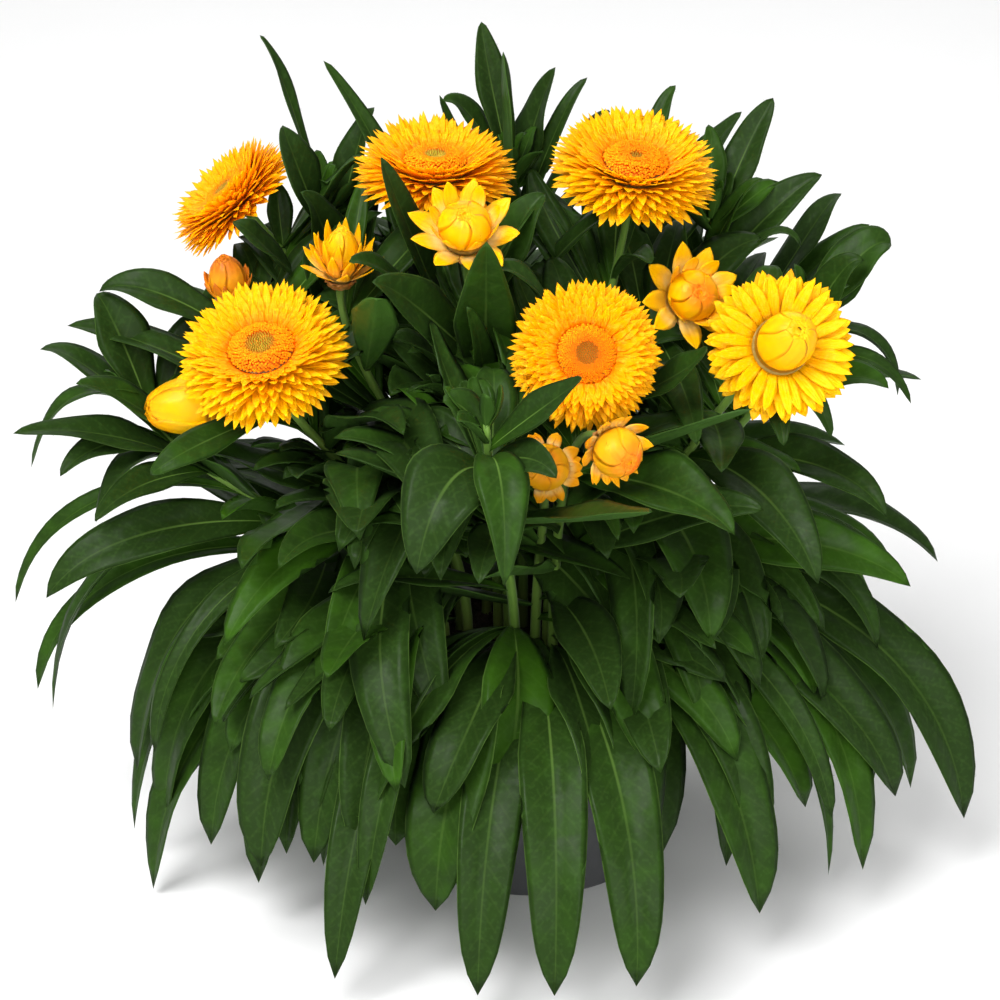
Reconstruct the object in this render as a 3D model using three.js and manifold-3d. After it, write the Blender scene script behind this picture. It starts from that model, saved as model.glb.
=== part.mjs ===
// Strawflower in a nursery pot: leafy stems in soil, papery flower heads and buds.
// Millimetres, +Z up. The origin is the middle of the pot's base, on the surface it stands on. The front is -Y

import * as THREE from 'three';
import { mergeVertices } from 'three/addons/utils/BufferGeometryUtils.js';
import Module from 'manifold-3d';

const wasm = await Module();
wasm.setup();

// Driving dimensions

const GAP = 0.3; // between pieces that touch on the real plant
const SAME_POINT = 0.0001; // corners nearer than this are one

const POT_HEIGHT = 92;
const POT_BASE_RADIUS = 48;
const POT_TOP_RADIUS = 63;
const POT_WALL = 1.6;
const POT_FLOOR = 2.4;
const RIM_RADIUS = 65.5;
const RIM_HEIGHT = 9;
const POT_SIDES = 32;
const DRAIN_RADIUS = 5;
const DRAIN_CIRCLE = 33;
const DRAIN_COUNT = 5;

const SOIL_TOP = 83;
const SOIL_LUMP = 1.6;
const SOIL_SIDES = 18;

const STEM_BASE_RADIUS = 2.1;
const STEM_TOP_RADIUS = 1.35;
const STEM_SIDES = 5;
const STEM_STEPS = 4;
const STEM_DEPTH = 12; // how deep a stem stands in the soil
const STEM_FREE = 88; // height where a stem starts to lean
const CROWN = 0.34; // stems start this far out, as a share of where they end

const LEAF_THICK = 1.3; // at the midrib, tapering to nothing at the edges
const LEAF_ROOT_WIDTH = 2.2;
const LEAF_FOLD = 0.22; // how far the edges rise above the midrib, as a share of half the width
const LEAF_SHAPES = [ // from this width up: how far along, and how wide there as a share
  { from: 20, stations: [0, 0.11, 0.3, 0.52, 0.74, 0.9], widths: [0, 0.34, 0.78, 1, 0.82, 0.45] },
  { from: 13, stations: [0, 0.15, 0.4, 0.66, 0.88], widths: [0, 0.45, 0.95, 0.92, 0.48] },
  { from: 0, stations: [0, 0.24, 0.56, 0.84], widths: [0, 0.7, 1, 0.55] },
];
const FILL_COUNT = 2; // leaves by rule on each listed stem
const LOWEST_LEAF = 3; // leaf tips stay this far above the surface
const HANGING = 60; // leaves whose tips hang lower than this find their place first

const BRACT_THICK = 1.1;
const BRACT_FOLD = 0.5; // how far a bract's sides rise above its middle
const FLORET_SIDES = 14;

// The plant is laid out as it is seen from the front: mm to the right, mm up, and the true Y of the point.
// The eye looks down by EYE_TILT at EYE_AIM from EYE_FAR away.
const EYE_TILT = (24 * Math.PI) / 180;
const EYE_FAR = 1250;
const EYE_AIM = new THREE.Vector3(-11, 0, 141);
const TO_EYE = new THREE.Vector3(0, -Math.cos(EYE_TILT), Math.sin(EYE_TILT));

const UP = new THREE.Vector3(0, 0, 1);

function seen(right, up, y) {
  const cos = Math.cos(EYE_TILT);
  const sin = Math.sin(EYE_TILT);
  const z = (up * (1 + (y * cos) / EYE_FAR) - y * sin) / (cos + (up * sin) / EYE_FAR);
  const nearer = z * sin - y * cos;
  return new THREE.Vector3(EYE_AIM.x + right * (1 - nearer / EYE_FAR), y, EYE_AIM.z + z);
}

// Seeded draw, the same on every run
function seeded(seed) {
  let state = seed >>> 0;
  return () => {
    state = (state + 0x6d2b79f5) >>> 0;
    let t = state;
    t = Math.imul(t ^ (t >>> 15), t | 1);
    t ^= t + Math.imul(t ^ (t >>> 7), t | 61);
    return ((t ^ (t >>> 14)) >>> 0) / 4294967296;
  };
}

// Closed bodies

function body(points, faces) {
  const geometry = new THREE.BufferGeometry();
  const corners = points.flatMap((point) => point.toArray());
  geometry.setAttribute('position', new THREE.Float32BufferAttribute(corners, 3));
  geometry.setIndex(faces.flat());
  return geometry;
}

function solid(geometry) {
  const vertProperties = new Float32Array(geometry.getAttribute('position').array);
  const triVerts = new Uint32Array(geometry.getIndex().array);
  return new wasm.Manifold(new wasm.Mesh({ numProp: 3, vertProperties, triVerts }));
}

// The outer skin alone: a hollow that fusing sealed is filled, and a loose scrap is dropped.
function outerSkin(corners, indices) {
  const owner = Array.from({ length: corners.length / 3 }, (_, i) => i);
  const find = (i) => {
    let root = i;
    while (owner[root] !== root) root = owner[root];
    owner[i] = root;
    return root;
  };
  for (let i = 0; i < indices.length; i += 3) {
    owner[find(indices[i])] = find(indices[i + 1]);
    owner[find(indices[i + 1])] = find(indices[i + 2]);
  }
  const volumes = new Map();
  const point = (i) => new THREE.Vector3().fromArray(corners, indices[i] * 3);
  for (let i = 0; i < indices.length; i += 3) {
    const skin = find(indices[i]);
    const volume = point(i).dot(point(i + 1).cross(point(i + 2))) / 6;
    volumes.set(skin, (volumes.get(skin) ?? 0) + volume);
  }
  const [outer] = [...volumes.entries()].reduce((best, next) => (next[1] > best[1] ? next : best));
  return indices.filter((_, i) => find(indices[i - (i % 3)]) === outer);
}

function geometryOf(manifold) {
  const mesh = manifold.getMesh();
  const whole = new THREE.BufferGeometry();
  whole.setAttribute('position', new THREE.BufferAttribute(new Float32Array(mesh.vertProperties), 3));
  whole.setIndex([...mesh.triVerts]);
  const merged = mergeVertices(whole, SAME_POINT);
  merged.setIndex(outerSkin(merged.getAttribute('position').array, [...merged.getIndex().array]));
  return merged;
}

function joined(first, rest) {
  return rest.reduce((whole, next) => whole.add(next), first);
}

// Rings of points from one end to the other. An end is a single point, or a ring that is closed flat.
function loft(rings) {
  const points = rings.flat();
  const starts = [];
  let count = 0;
  for (const ring of rings) {
    starts.push(count);
    count += ring.length;
  }
  const faces = [];
  for (let i = 0; i + 1 < rings.length; i += 1) {
    const sides = Math.max(rings[i].length, rings[i + 1].length);
    for (let j = 0; j < sides; j += 1) {
      const k = (j + 1) % sides;
      const low = starts[i];
      const high = starts[i + 1];
      if (rings[i].length === 1) faces.push([low, high + k, high + j]);
      else if (rings[i + 1].length === 1) faces.push([low + j, low + k, high]);
      else faces.push([low + j, low + k, high + k], [low + j, high + k, high + j]);
    }
  }
  const last = rings.length - 1;
  for (let j = 1; j + 1 < rings[0].length; j += 1) faces.push([0, j + 1, j]);
  for (let j = 1; j + 1 < rings[last].length; j += 1) {
    faces.push([starts[last], starts[last] + j, starts[last] + j + 1]);
  }
  return body(points, faces);
}

// Turned about Z from a profile of [radius, height] that starts and ends on the axis. Relief is optional.
function turned(profile, sides, relief = () => 0) {
  const rings = profile.map(([radius, height], row) => {
    if (radius === 0) return [new THREE.Vector3(0, 0, height)];
    return Array.from({ length: sides }, (_, side) => {
      const angle = (side / sides) * 2 * Math.PI;
      const out = radius + relief(row, side, radius);
      const lift = relief(row, side, radius) * 0.6;
      return new THREE.Vector3(out * Math.cos(angle), out * Math.sin(angle), height + lift);
    });
  });
  return loft(rings);
}

// A blade has a lens section. Its two faces share their diagonals, so that they never cross.
function blade(sections, tip) {
  const points = sections.flatMap((s) => [s.left, s.top, s.right, s.bottom]);
  const faces = [];
  for (let i = 0; i + 1 < sections.length; i += 1) {
    const [left, top, right, bottom] = [0, 1, 2, 3].map((corner) => i * 4 + corner);
    faces.push([left, left + 4, top + 4], [left, top + 4, top]);
    faces.push([right, top, top + 4], [right, top + 4, right + 4]);
    faces.push([left, bottom, bottom + 4], [left, bottom + 4, left + 4]);
    faces.push([right, bottom + 4, bottom], [right, right + 4, bottom + 4]);
  }
  const last = (sections.length - 1) * 4;
  const end = points.length;
  points.push(tip);
  faces.push([last, end, last + 1], [last + 2, last + 1, end]);
  faces.push([last, last + 3, end], [last + 2, end, last + 3]);
  faces.push([0, 1, 2], [0, 2, 3]);
  return body(points, faces);
}

// Stems and leaves.
// Each stem ends at `at`: mm to the right, mm up, and Y. A stem with a head has the way it faces.
// Leaves: how far along the stem, then the tip's right, up and Y, the width, the rise near the root,
// the arch near the tip, and how far the upper side is turned to the front.

const STEMS = [
  {
    name: 'leafy_stem_high_left', at: [-100, 113, 28], faces: [-0.66, -0.06, 0.74], head: 'bloom_high_left',
    leaves: [
      [0.82, -98, 104, 2, 12, 2, 4, 0.6],
      [0.9, -84, 129, 22, 11, 2, 2, 0.5],
      [0.55, -72, 92, 10, 15, 2, 2, 0.7],
    ],
  },
  {
    name: 'leafy_stem_top_middle', at: [-24, 124, 5], faces: [0.03, -0.12, 0.99], head: 'bloom_top_middle',
    leaves: [
      [0.8, -64, 163, 35, 8, 4, 6, 0.3],
      [0.72, -44, 127, -26, 13, 2, 4, 0.7],
      [0.62, -56, 88, -38, 10, 16, 16, 0.5],
    ],
  },
  {
    name: 'leafy_stem_top_right', at: [50, 124, 5], faces: [0.1, -0.27, 0.96], head: 'bloom_top_right',
    leaves: [
      [0.74, 56, 87, -28, 9, 8, 8, 0.5],
      [0.6, 68, 62, -35, 14, 6, 10, 0.5],
      [0.84, 64, 154, 42, 9, 2, 4, 0.3],
    ],
  },
  {
    name: 'leafy_stem_left', at: [-88, 55, -38], faces: [-0.12, -0.45, 0.88], head: 'bloom_left',
    leaves: [
      [0.5, -52, -15, -90, 21, 18, 30, 0.7],
      [0.3, -82, -24, -84, 17, 10, 14, 0.6],
      [0.05, -88, -136, -98, 28, 0, 0, 0.3],
      [0.12, -80, -132, -64, 18, 0, 0, 0.3],
      [0.2, -86, -104, -104, 20, 0, 0, 0.3],
    ],
  },
  {
    name: 'leafy_stem_centre', at: [32, 54, -66], faces: [0.03, -0.88, 0.47], head: 'bloom_centre',
    leaves: [
      [0.2, 46, -74, -112, 17, 0, 0, 0.5],
      [0.4, 44, -12, -108, 10, 4, 6, 0.5],
      [0.82, -26, 88, -64, 9, 34, 30, 0.4],
    ],
  },
  {
    name: 'leafy_stem_right', at: [104, 57, -48], faces: [0.12, -0.86, 0.5], head: 'bloom_right',
    leaves: [
      [0.9, 105, 20, -62, 9, 0, 4, 0.6],
      [0.86, 123, 23, -44, 9, 2, 6, 0.6],
      [0.5, 118, -31, -84, 22, 8, 12, 0.6],
      [0.26, 152, -32, -46, 22, 8, 16, 0.6],
      [0.05, 96, -153, -98, 27, 0, 0, 0.3],
      [0.08, 123, -118, -72, 12, 0, 0, 0.4],
      [0.62, 82, 11, -82, 16, 4, 6, 0.6],
    ],
  },
  {
    name: 'leafy_stem_bud_right', at: [70, 75, -14], faces: [0.3, -0.82, 0.48], head: 'bud_right',
    leaves: [
      [0.84, 73, 20, -62, 13, 2, 8, 0.6],
      [0.12, 59, -100, -112, 21, 0, 0, 0.4],
      [0.2, 80, -55, -92, 13, 2, 4, 0.4],
    ],
  },
  {
    name: 'leafy_stem_bud_top', at: [-13, 99, -40], faces: [0, -0.62, 0.78], head: 'bud_top',
    leaves: [
      [0.55, -5, 96, -58, 20, 2, 2, 0.8],
      [0.55, -46, 81, -66, 18, 2, 6, 0.8],
      [0.42, -10, 70, -60, 10, 2, 2, 0.7],
      [0.3, -22, -30, -108, 27, 18, 26, 0.7],
      [0.7, 16, 114, -12, 15, 4, 6, 0.6],
    ],
  },
  {
    name: 'leafy_stem_bud_far_left', at: [-108, 36, -16], faces: [-0.97, -0.2, -0.06], head: 'bud_far_left',
    leaves: [
      [0.8, -130, 9, -58, 12, 4, 6, 0.6],
      [0.05, -61, -177, -126, 18, 0, 0, 0.3],
      [0.12, -64, -67, -104, 18, 0, 4, 0.5],
    ],
  },
  {
    name: 'leafy_stem_bud_left', at: [-100, 77, 2], faces: [-0.12, -0.1, 0.98], head: 'bud_left',
    leaves: [
      [0.86, -149, 78, 8, 14, 8, 12, 0.6],
      [0.45, -23, -13, -100, 26, 26, 36, 0.7],
      [0.12, -106, -83, -84, 17, 0, 0, 0.4],
    ],
  },
  {
    name: 'leafy_stem_bud_high_left', at: [-59, 85, -14], faces: [0.06, -0.2, 0.98], head: 'bud_high_left',
    leaves: [
      [0.92, -46, 141, 4, 9, 6, 10, 0.3],
      [0.6, -80, 74, -34, 10, 4, 4, 0.6],
      [0.06, -50, -150, -106, 15, 0, 0, 0.3],
    ],
  },
  {
    name: 'leafy_stem_bud_front', at: [17, 12, -84], faces: [-0.05, -0.9, 0.42], head: 'bud_front',
    leaves: [
      [0.04, -8, -184, -138, 22, 0, 0, 0.3],
      [0.08, 20, -184, -146, 23, 0, 0, 0.3],
    ],
  },
  {
    name: 'leafy_stem_bud_front_right', at: [42, 19, -94],
    faces: [0.45, -0.86, -0.1], head: 'bud_front_right',
    leaves: [
      [0.6, 87, -12, -112, 22, 6, 10, 0.6],
      [0.3, 97, -3, -84, 18, 8, 12, 0.6],
      [0.05, 51, -181, -142, 24, 0, 0, 0.3],
    ],
  },
  {
    name: 'leafy_shoot_front', at: [-5, 28, -94],
    leaves: [
      [0.97, -21, 37, -98, 12, 2, 4, 0.7],
      [0.93, -14, 44, -86, 8, 1, 2, 0.7],
      [0.9, 31, 45, -112, 11, 2, 2, 0.7],
      [0.84, 21, 8, -114, 12, 5, 8, 0.7],
      [0.7, 6, -18, -114, 11, 2, 4, 0.7],
      [0.6, -8, -29, -120, 14, 4, 8, 0.7],
      [0.08, -25, -153, -118, 30, 0, 0, 0.3],
    ],
  },
  {
    name: 'leafy_shoot_top', at: [4, 122, 40],
    leaves: [
      [0.98, -7, 177, 52, 12, 2, 2, 0.4],
      [0.88, 1, 166, 34, 13, 2, 3, 0.5],
      [0.92, 19, 160, 46, 14, 2, 2, 0.5],
      [0.84, 31, 157, 50, 8, 3, 3, 0.5],
      [0.8, -22, 150, 50, 8, 3, 3, 0.5],
      [0.94, -20, 149, 28, 10, 8, 8, 0.5],
      [0.76, 41, 143, 28, 9, 8, 16, 0.4],
      [0.7, 3, 140, 18, 14, 4, 4, 0.6],
      [0.62, 53, 107, -18, 11, 14, 16, 0.5],
      [0.48, 4, 87, -22, 12, 2, 2, 0.8],
      [0.36, -40, 60, -10, 18, 4, 6, 0.7],
      [0.3, 20, 40, -20, 18, 4, 6, 0.7],
    ],
  },
  {
    name: 'leafy_shoot_high_left', at: [-66, 110, 34],
    leaves: [
      [0.97, -89, 172, 44, 6, 8, 10, 0.2],
      [0.92, -80, 139, 30, 19, 2, 2, 0.7],
      [0.84, -48, 146, 44, 12, 4, 6, 0.4],
      [0.75, -71, 114, 8, 15, 2, 3, 0.7],
    ],
  },
  {
    name: 'leafy_shoot_high_right', at: [78, 106, 34],
    leaves: [
      [0.95, 78, 139, 44, 10, 2, 2, 0.4],
      [0.9, 101, 149, 52, 13, 2, 2, 0.5],
      [0.84, 95, 120, 26, 10, 4, 4, 0.5],
      [0.78, 119, 121, 40, 15, 4, 6, 0.6],
      [0.68, 113, 95, 16, 6, 16, 24, 0.3],
    ],
  },
  {
    name: 'leafy_shoot_right', at: [114, 70, 14],
    leaves: [
      [0.95, 146, 95, 22, 18, 8, 14, 0.6],
      [0.86, 133, 90, 4, 13, 6, 8, 0.7],
      [0.76, 153, 36, -10, 8, 16, 20, 0.4],
      [0.66, 144, 42, -26, 15, 8, 12, 0.6],
      [0.5, 144, -5, -44, 17, 8, 14, 0.6],
      [0.28, 142, -55, -30, 15, 6, 12, 0.5],
      [0.02, 172, -118, -36, 26, 0, 6, 0.4],
      [0.06, 124, -139, -44, 12, 0, 0, 0.3],
      [0.1, 138, -128, -4, 12, 0, 0, 0.3],
    ],
  },
  {
    name: 'leafy_shoot_left', at: [-134, 40, -2],
    leaves: [
      [0.96, -178, 9, -14, 8, 10, 16, 0.4],
      [0.88, -170, 56, 14, 11, 6, 8, 0.6],
      [0.78, -163, 9, -34, 12, 8, 10, 0.6],
      [0.66, -150, -8, -50, 12, 6, 10, 0.6],
      [0.42, -169, -36, -34, 20, 8, 16, 0.6],
      [0.54, -180, -38, -2, 8, 8, 12, 0.4],
      [0.26, -171, -70, 2, 11, 6, 10, 0.5],
      [0.3, -129, -94, -58, 9, 6, 8, 0.5],
      [0.02, -129, -150, -48, 20, 0, 4, 0.4],
      [0.08, -136, -122, -22, 13, 0, 0, 0.4],
    ],
  },
];

// Shoots behind, where the front view doesn't reach: bearing from +X, reach and height of the end, leaf count
const BACK_SHOOTS = [
  ['leafy_shoot_back_right', 28, 96, 196, 7],
  ['leafy_shoot_back_mid_right', 62, 88, 214, 7],
  ['leafy_shoot_back_middle', 96, 92, 200, 7],
  ['leafy_shoot_back_mid_left', 122, 90, 212, 7],
  ['leafy_shoot_back_left', 148, 92, 190, 7],
];

// Heads. A layer of bracts is [tip radius, tip height, bend radius, bend height], in mm from the middle of
// the head's face. The foot, the seats between layers, the crown and the centre are [radius, height].

const OPEN_FOOT = [3, -10];
const OPEN_SEATS = [[8.6, -6.6], [10.6, -4.4], [11.4, -2], [11.6, 0.4]];
const OPEN_CENTRE = [[0, 0.7], [9.6, 0.7], [10.4, 2.4], [7.8, 4.8], [3.6, 4.9], [0, 4.2]];
const CLOSED_CENTRE = [[0, 0.7], [8.8, 0.7], [9.8, 4], [9, 8.4], [5.4, 13], [0, 15.4]];

const KINDS = {
  open: {
    count: 13,
    foot: OPEN_FOOT,
    seats: OPEN_SEATS,
    layers: [
      [30, -7, 19, -5.4],
      [29, 2.5, 18, 0],
      [23, 10, 15.6, 4],
    ],
    crown: [],
    centre: OPEN_CENTRE,
  },
  closed: {
    count: 15,
    foot: OPEN_FOOT,
    seats: [[8.6, -6.6], [10.8, -3], [11.2, 0.4]],
    layers: [
      [29.5, -4, 19, -3.6],
      [27.5, 5, 17, 1.8],
    ],
    crown: [],
    centre: CLOSED_CENTRE,
  },
  star: {
    count: 9,
    foot: [2.6, -8],
    seats: [[6, -4.6], [7, -1], [7.4, 1.6]],
    layers: [
      [17.6, 4, 10, 0.4],
      [11.4, 12, 9.4, 5.4],
    ],
    crown: [[6.2, 6.6], [0, 9.8]],
  },
  cone: {
    count: 9,
    foot: [2.4, -5],
    seats: [[6, -2.6], [7.6, 0.4]],
    layers: [[15, 1.5, 9.6, -0.4]],
    crown: [[8.6, 5], [7.4, 12.8], [3.4, 19], [0, 20.4]],
  },
  small: {
    count: 7,
    foot: [2, -5],
    seats: [[4.4, -2.4], [5.4, 0.6]],
    layers: [[8.8, 7, 7, 1]],
    crown: [[6, 4], [4.8, 9.6], [0, 14.6]],
  },
  tulip: {
    count: 8,
    foot: [2.4, -6],
    seats: [[4.8, -2.6], [5.8, 0.4], [6, 3]],
    layers: [
      [16, 7, 9.4, 1],
      [8.8, 17, 8, 7.6],
    ],
    crown: [[4.6, 12.6], [0, 18.6]],
  },
  dome: {
    count: 9,
    foot: [2.6, -6],
    seats: [[6.2, -3.2], [7.6, -0.2]],
    layers: [[13.6, 2.5, 9.6, -1]],
    crown: [[8, 3.4], [5.4, 8.6], [0, 11]],
  },
};

const HEADS = {
  bloom_high_left: { kind: 'open', scale: 0.9 },
  bloom_top_middle: { kind: 'open', scale: 1.02 },
  bloom_top_right: { kind: 'open', scale: 1.06 },
  bloom_left: { kind: 'open', scale: 1.08 },
  bloom_centre: { kind: 'open', scale: 0.92 },
  bloom_right: { kind: 'closed', scale: 0.96 },
  bud_right: { kind: 'star', scale: 1.14 },
  bud_top: { kind: 'star', scale: 1.16 },
  bud_far_left: { kind: 'cone', scale: 1.14 },
  bud_left: { kind: 'small', scale: 1.05 },
  bud_high_left: { kind: 'tulip', scale: 1 },
  bud_front: { kind: 'dome', scale: 0.96 },
  bud_front_right: { kind: 'dome', scale: 1.02 },
};

// Colours of the photographed plant
const POT_GREY = new THREE.MeshStandardMaterial({ color: 0x3c3d3f, roughness: 0.55, metalness: 0 });
const SOIL_BROWN = new THREE.MeshStandardMaterial({ color: 0x2a1f17, roughness: 1, metalness: 0 });
const LEAF_GREEN = new THREE.MeshStandardMaterial({ color: 0x38602b, roughness: 0.6, metalness: 0 });
const BRACT_YELLOW = new THREE.MeshStandardMaterial({ color: 0xffc400, roughness: 0.45, metalness: 0 });
const FLORET_ORANGE = new THREE.MeshStandardMaterial({ color: 0xff8400, roughness: 0.8, metalness: 0 });
const BUD_GOLD = new THREE.MeshStandardMaterial({ color: 0xf7b21a, roughness: 0.45, metalness: 0 });

// Pot and soil

function drainHole(number) {
  const angle = (number / DRAIN_COUNT) * 2 * Math.PI;
  const profile = [[0, -1], [DRAIN_RADIUS, -1], [DRAIN_RADIUS, POT_FLOOR + 1], [0, POT_FLOOR + 1]];
  const hole = turned(profile, 8);
  hole.translate(DRAIN_CIRCLE * Math.cos(angle), DRAIN_CIRCLE * Math.sin(angle), 0);
  return solid(hole);
}

function potSolid() {
  const rimFoot = POT_HEIGHT - RIM_HEIGHT;
  const wallAt = (z) => POT_BASE_RADIUS + ((POT_TOP_RADIUS - POT_BASE_RADIUS) * z) / POT_HEIGHT;
  const profile = [
    [0, 0],
    [POT_BASE_RADIUS, 0],
    [wallAt(rimFoot), rimFoot],
    [RIM_RADIUS - 0.6, rimFoot],
    [RIM_RADIUS, POT_HEIGHT - 0.8],
    [RIM_RADIUS - 0.8, POT_HEIGHT],
    [POT_TOP_RADIUS - POT_WALL, POT_HEIGHT],
    [wallAt(POT_FLOOR) - POT_WALL, POT_FLOOR],
    [0, POT_FLOOR],
  ];
  let pot = solid(turned(profile, POT_SIDES));
  for (let i = 0; i < DRAIN_COUNT; i += 1) pot = pot.subtract(drainHole(i));
  return pot;
}

function soilSolid(stems) {
  const inside = (z) => {
    const base = POT_BASE_RADIUS - POT_WALL;
    const top = POT_TOP_RADIUS - POT_WALL;
    const facet = Math.cos(Math.PI / POT_SIDES);
    return (base + ((top - base) * z) / POT_HEIGHT) * facet - GAP;
  };
  const foot = POT_FLOOR + GAP;
  const edge = SOIL_TOP - SOIL_LUMP;
  const profile = [
    [0, foot],
    [inside(foot), foot],
    [inside(edge), edge],
    [44, SOIL_TOP],
    [24, SOIL_TOP],
    [0, SOIL_TOP + 1],
  ];
  const lumps = (row, side, radius) => {
    if (row < 3) return 0;
    return SOIL_LUMP * Math.sin(side * 2.4 + radius * 0.7) * Math.cos(side * 1.3 - row);
  };
  let soil = solid(turned(profile, SOIL_SIDES, lumps));
  for (const stem of stems) {
    const radius = STEM_BASE_RADIUS + 0.4;
    const bottom = SOIL_TOP - STEM_DEPTH - GAP;
    const top = STEM_FREE + 8;
    const hole = turned([[0, bottom], [radius, bottom], [radius, top], [0, top]], STEM_SIDES);
    hole.translate(stem.base.x, stem.base.y, 0);
    soil = soil.subtract(solid(hole));
  }
  return soil;
}

// Stems

function stemCurve(end, facing) {
  const base = new THREE.Vector3(end.x * CROWN, end.y * CROWN, STEM_FREE);
  const height = end.z - STEM_FREE;
  const reach = end.distanceTo(base);
  const first = base.clone().addScaledVector(UP, height * 0.4);
  const last = end.clone().addScaledVector(facing, -0.24 * reach);
  return new THREE.CubicBezierCurve3(base, first, last, end);
}

function stemGeometry(curve, grow = 0) {
  const stops = [[curve.v0.clone().setZ(SOIL_TOP - STEM_DEPTH), UP, 0]];
  for (let i = 0; i <= STEM_STEPS; i += 1) {
    const along = i / STEM_STEPS;
    stops.push([curve.getPoint(along), along === 0 ? UP : curve.getTangent(along), along]);
  }
  let across = new THREE.Vector3(1, 0, 0);
  const rings = stops.map(([middle, tangent, along]) => {
    across = across.clone().addScaledVector(tangent, -across.dot(tangent)).normalize();
    const beside = tangent.clone().cross(across);
    const radius = STEM_BASE_RADIUS + (STEM_TOP_RADIUS - STEM_BASE_RADIUS) * along + grow;
    return Array.from({ length: STEM_SIDES }, (_, side) => {
      const angle = (side / STEM_SIDES) * 2 * Math.PI;
      return middle.clone()
        .addScaledVector(across, radius * Math.cos(angle))
        .addScaledVector(beside, radius * Math.sin(angle));
    });
  });
  return loft(rings);
}

// Leaves

// One leaf: its root on the stem, its tip, its width, how it rises and arches, and how it is turned
function leafCurve(leaf) {
  const chord = leaf.tip.clone().sub(leaf.root);
  const droop = Math.max(0, leaf.root.z - leaf.tip.z);
  const rise = leaf.rise + 0.5 * droop;
  const arch = leaf.arch + 0.55 * droop;
  const fall = Math.min(1, droop / 60);
  const forward = leaf.fromFront ? new THREE.Vector3(0, -1, 0) : chord.clone().setZ(0).normalize();
  const level = chord.clone().setZ(0);
  const first = leaf.root.clone().addScaledVector(chord, 0.3).addScaledVector(level, 0.1 * fall);
  const last = leaf.root.clone().addScaledVector(chord, 0.76).addScaledVector(level, 0.18 * fall);
  first.addScaledVector(UP, rise);
  last.addScaledVector(UP, arch);
  first.addScaledVector(forward, leaf.push);
  last.addScaledVector(forward, leaf.push);
  return new THREE.CubicBezierCurve3(leaf.root, first, last, leaf.tip);
}

function leafGeometry(leaf, grow = 0) {
  const curve = leafCurve(leaf);
  const outward = leaf.tip.clone().sub(leaf.root).setZ(0).normalize();
  const level = UP.clone().cross(outward);
  const shape = LEAF_SHAPES.find((one) => leaf.width >= one.from);
  const sections = shape.stations.map((station, i) => {
    const tangent = curve.getTangent(station);
    const flat = tangent.clone().cross(level).normalize();
    let normal = flat.multiplyScalar(1 - leaf.turn).addScaledVector(TO_EYE, leaf.turn);
    normal = normal.addScaledVector(tangent, -normal.dot(tangent)).normalize();
    normal.applyAxisAngle(tangent, leaf.roll);
    const side = normal.clone().cross(tangent);
    const middle = curve.getPoint(station);
    const half = (LEAF_ROOT_WIDTH + (leaf.width - LEAF_ROOT_WIDTH) * shape.widths[i] + grow) / 2;
    const thick = (LEAF_THICK + grow) / 2;
    const lift = half * LEAF_FOLD;
    return {
      left: middle.clone().addScaledVector(side, -half).addScaledVector(normal, lift),
      top: middle.clone().addScaledVector(normal, thick),
      right: middle.clone().addScaledVector(side, half).addScaledVector(normal, lift),
      bottom: middle.clone().addScaledVector(normal, -thick),
    };
  });
  return blade(sections, leaf.tip);
}

// Ways to bend a leaf clear of its neighbours, the smallest change first: its root slides along the stem,
// it gets shorter, goes deeper into the picture, lifts, is pushed outward, and rolls.
const BENDS = [];
for (const slide of [0, 0.06, -0.05, 0.14]) {
  for (const shrink of [0, 0.14, 0.28]) {
    for (const deeper of [0, -6, 6, -13, 13, -21, 21]) {
      for (const lift of [0, 8, -6, 18]) {
        for (const push of [0, 10, -8]) {
          for (const roll of [0, 0.4, -0.4]) {
            const moved = Math.abs(deeper) + Math.abs(lift) * 0.9 + Math.abs(push) * 0.7;
            const cost = moved + Math.abs(roll) * 14 + shrink * 110 + Math.abs(slide) * 80;
            BENDS.push({ slide, shrink, deeper, lift, push, roll, cost });
          }
        }
      }
    }
  }
}
BENDS.sort((a, b) => a.cost - b.cost);

function bent(leaf, bend) {
  const root = leaf.curve.getPoint(Math.min(0.98, Math.max(0.01, leaf.along + bend.slide)));
  const aim = leaf.aim.clone();
  if (leaf.fromFront) aim.copy(seen(leaf.right, leaf.up, leaf.aim.y + bend.deeper));
  else aim.sub(leaf.root).applyAxisAngle(UP, (bend.deeper * Math.PI) / 180).add(leaf.root);
  const tip = root.clone().lerp(aim, 1 - bend.shrink);
  tip.z = Math.max(tip.z, LOWEST_LEAF);
  return {
    ...leaf,
    root,
    tip,
    width: leaf.width * (1 - bend.shrink * 0.6),
    rise: leaf.rise + bend.lift,
    arch: leaf.arch + bend.lift * 1.3,
    push: bend.push,
    roll: bend.roll,
  };
}

const CLEAR = 0.9; // added to a leaf's width and thickness while its way is tested

function boxOf(geometry) {
  geometry.computeBoundingBox();
  return geometry.boundingBox.clone();
}

function obstacle(geometry, owner = '') {
  return { box: boxOf(geometry), body: solid(geometry), owner };
}

function isClear(geometry, obstacles, owner) {
  const box = boxOf(geometry);
  const test = solid(geometry);
  return obstacles.every((other) => {
    if (other.owner === owner || !box.intersectsBox(other.box)) return true;
    return test.intersect(other.body).isEmpty();
  });
}

// Heads

function headFrame(centre, facing) {
  const turn = new THREE.Quaternion().setFromUnitVectors(UP, facing);
  return new THREE.Matrix4().compose(centre, turn, new THREE.Vector3(1, 1, 1));
}

function scaled(profile, scale) {
  return profile.map(([radius, height]) => [radius * scale, height * scale]);
}

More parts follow.
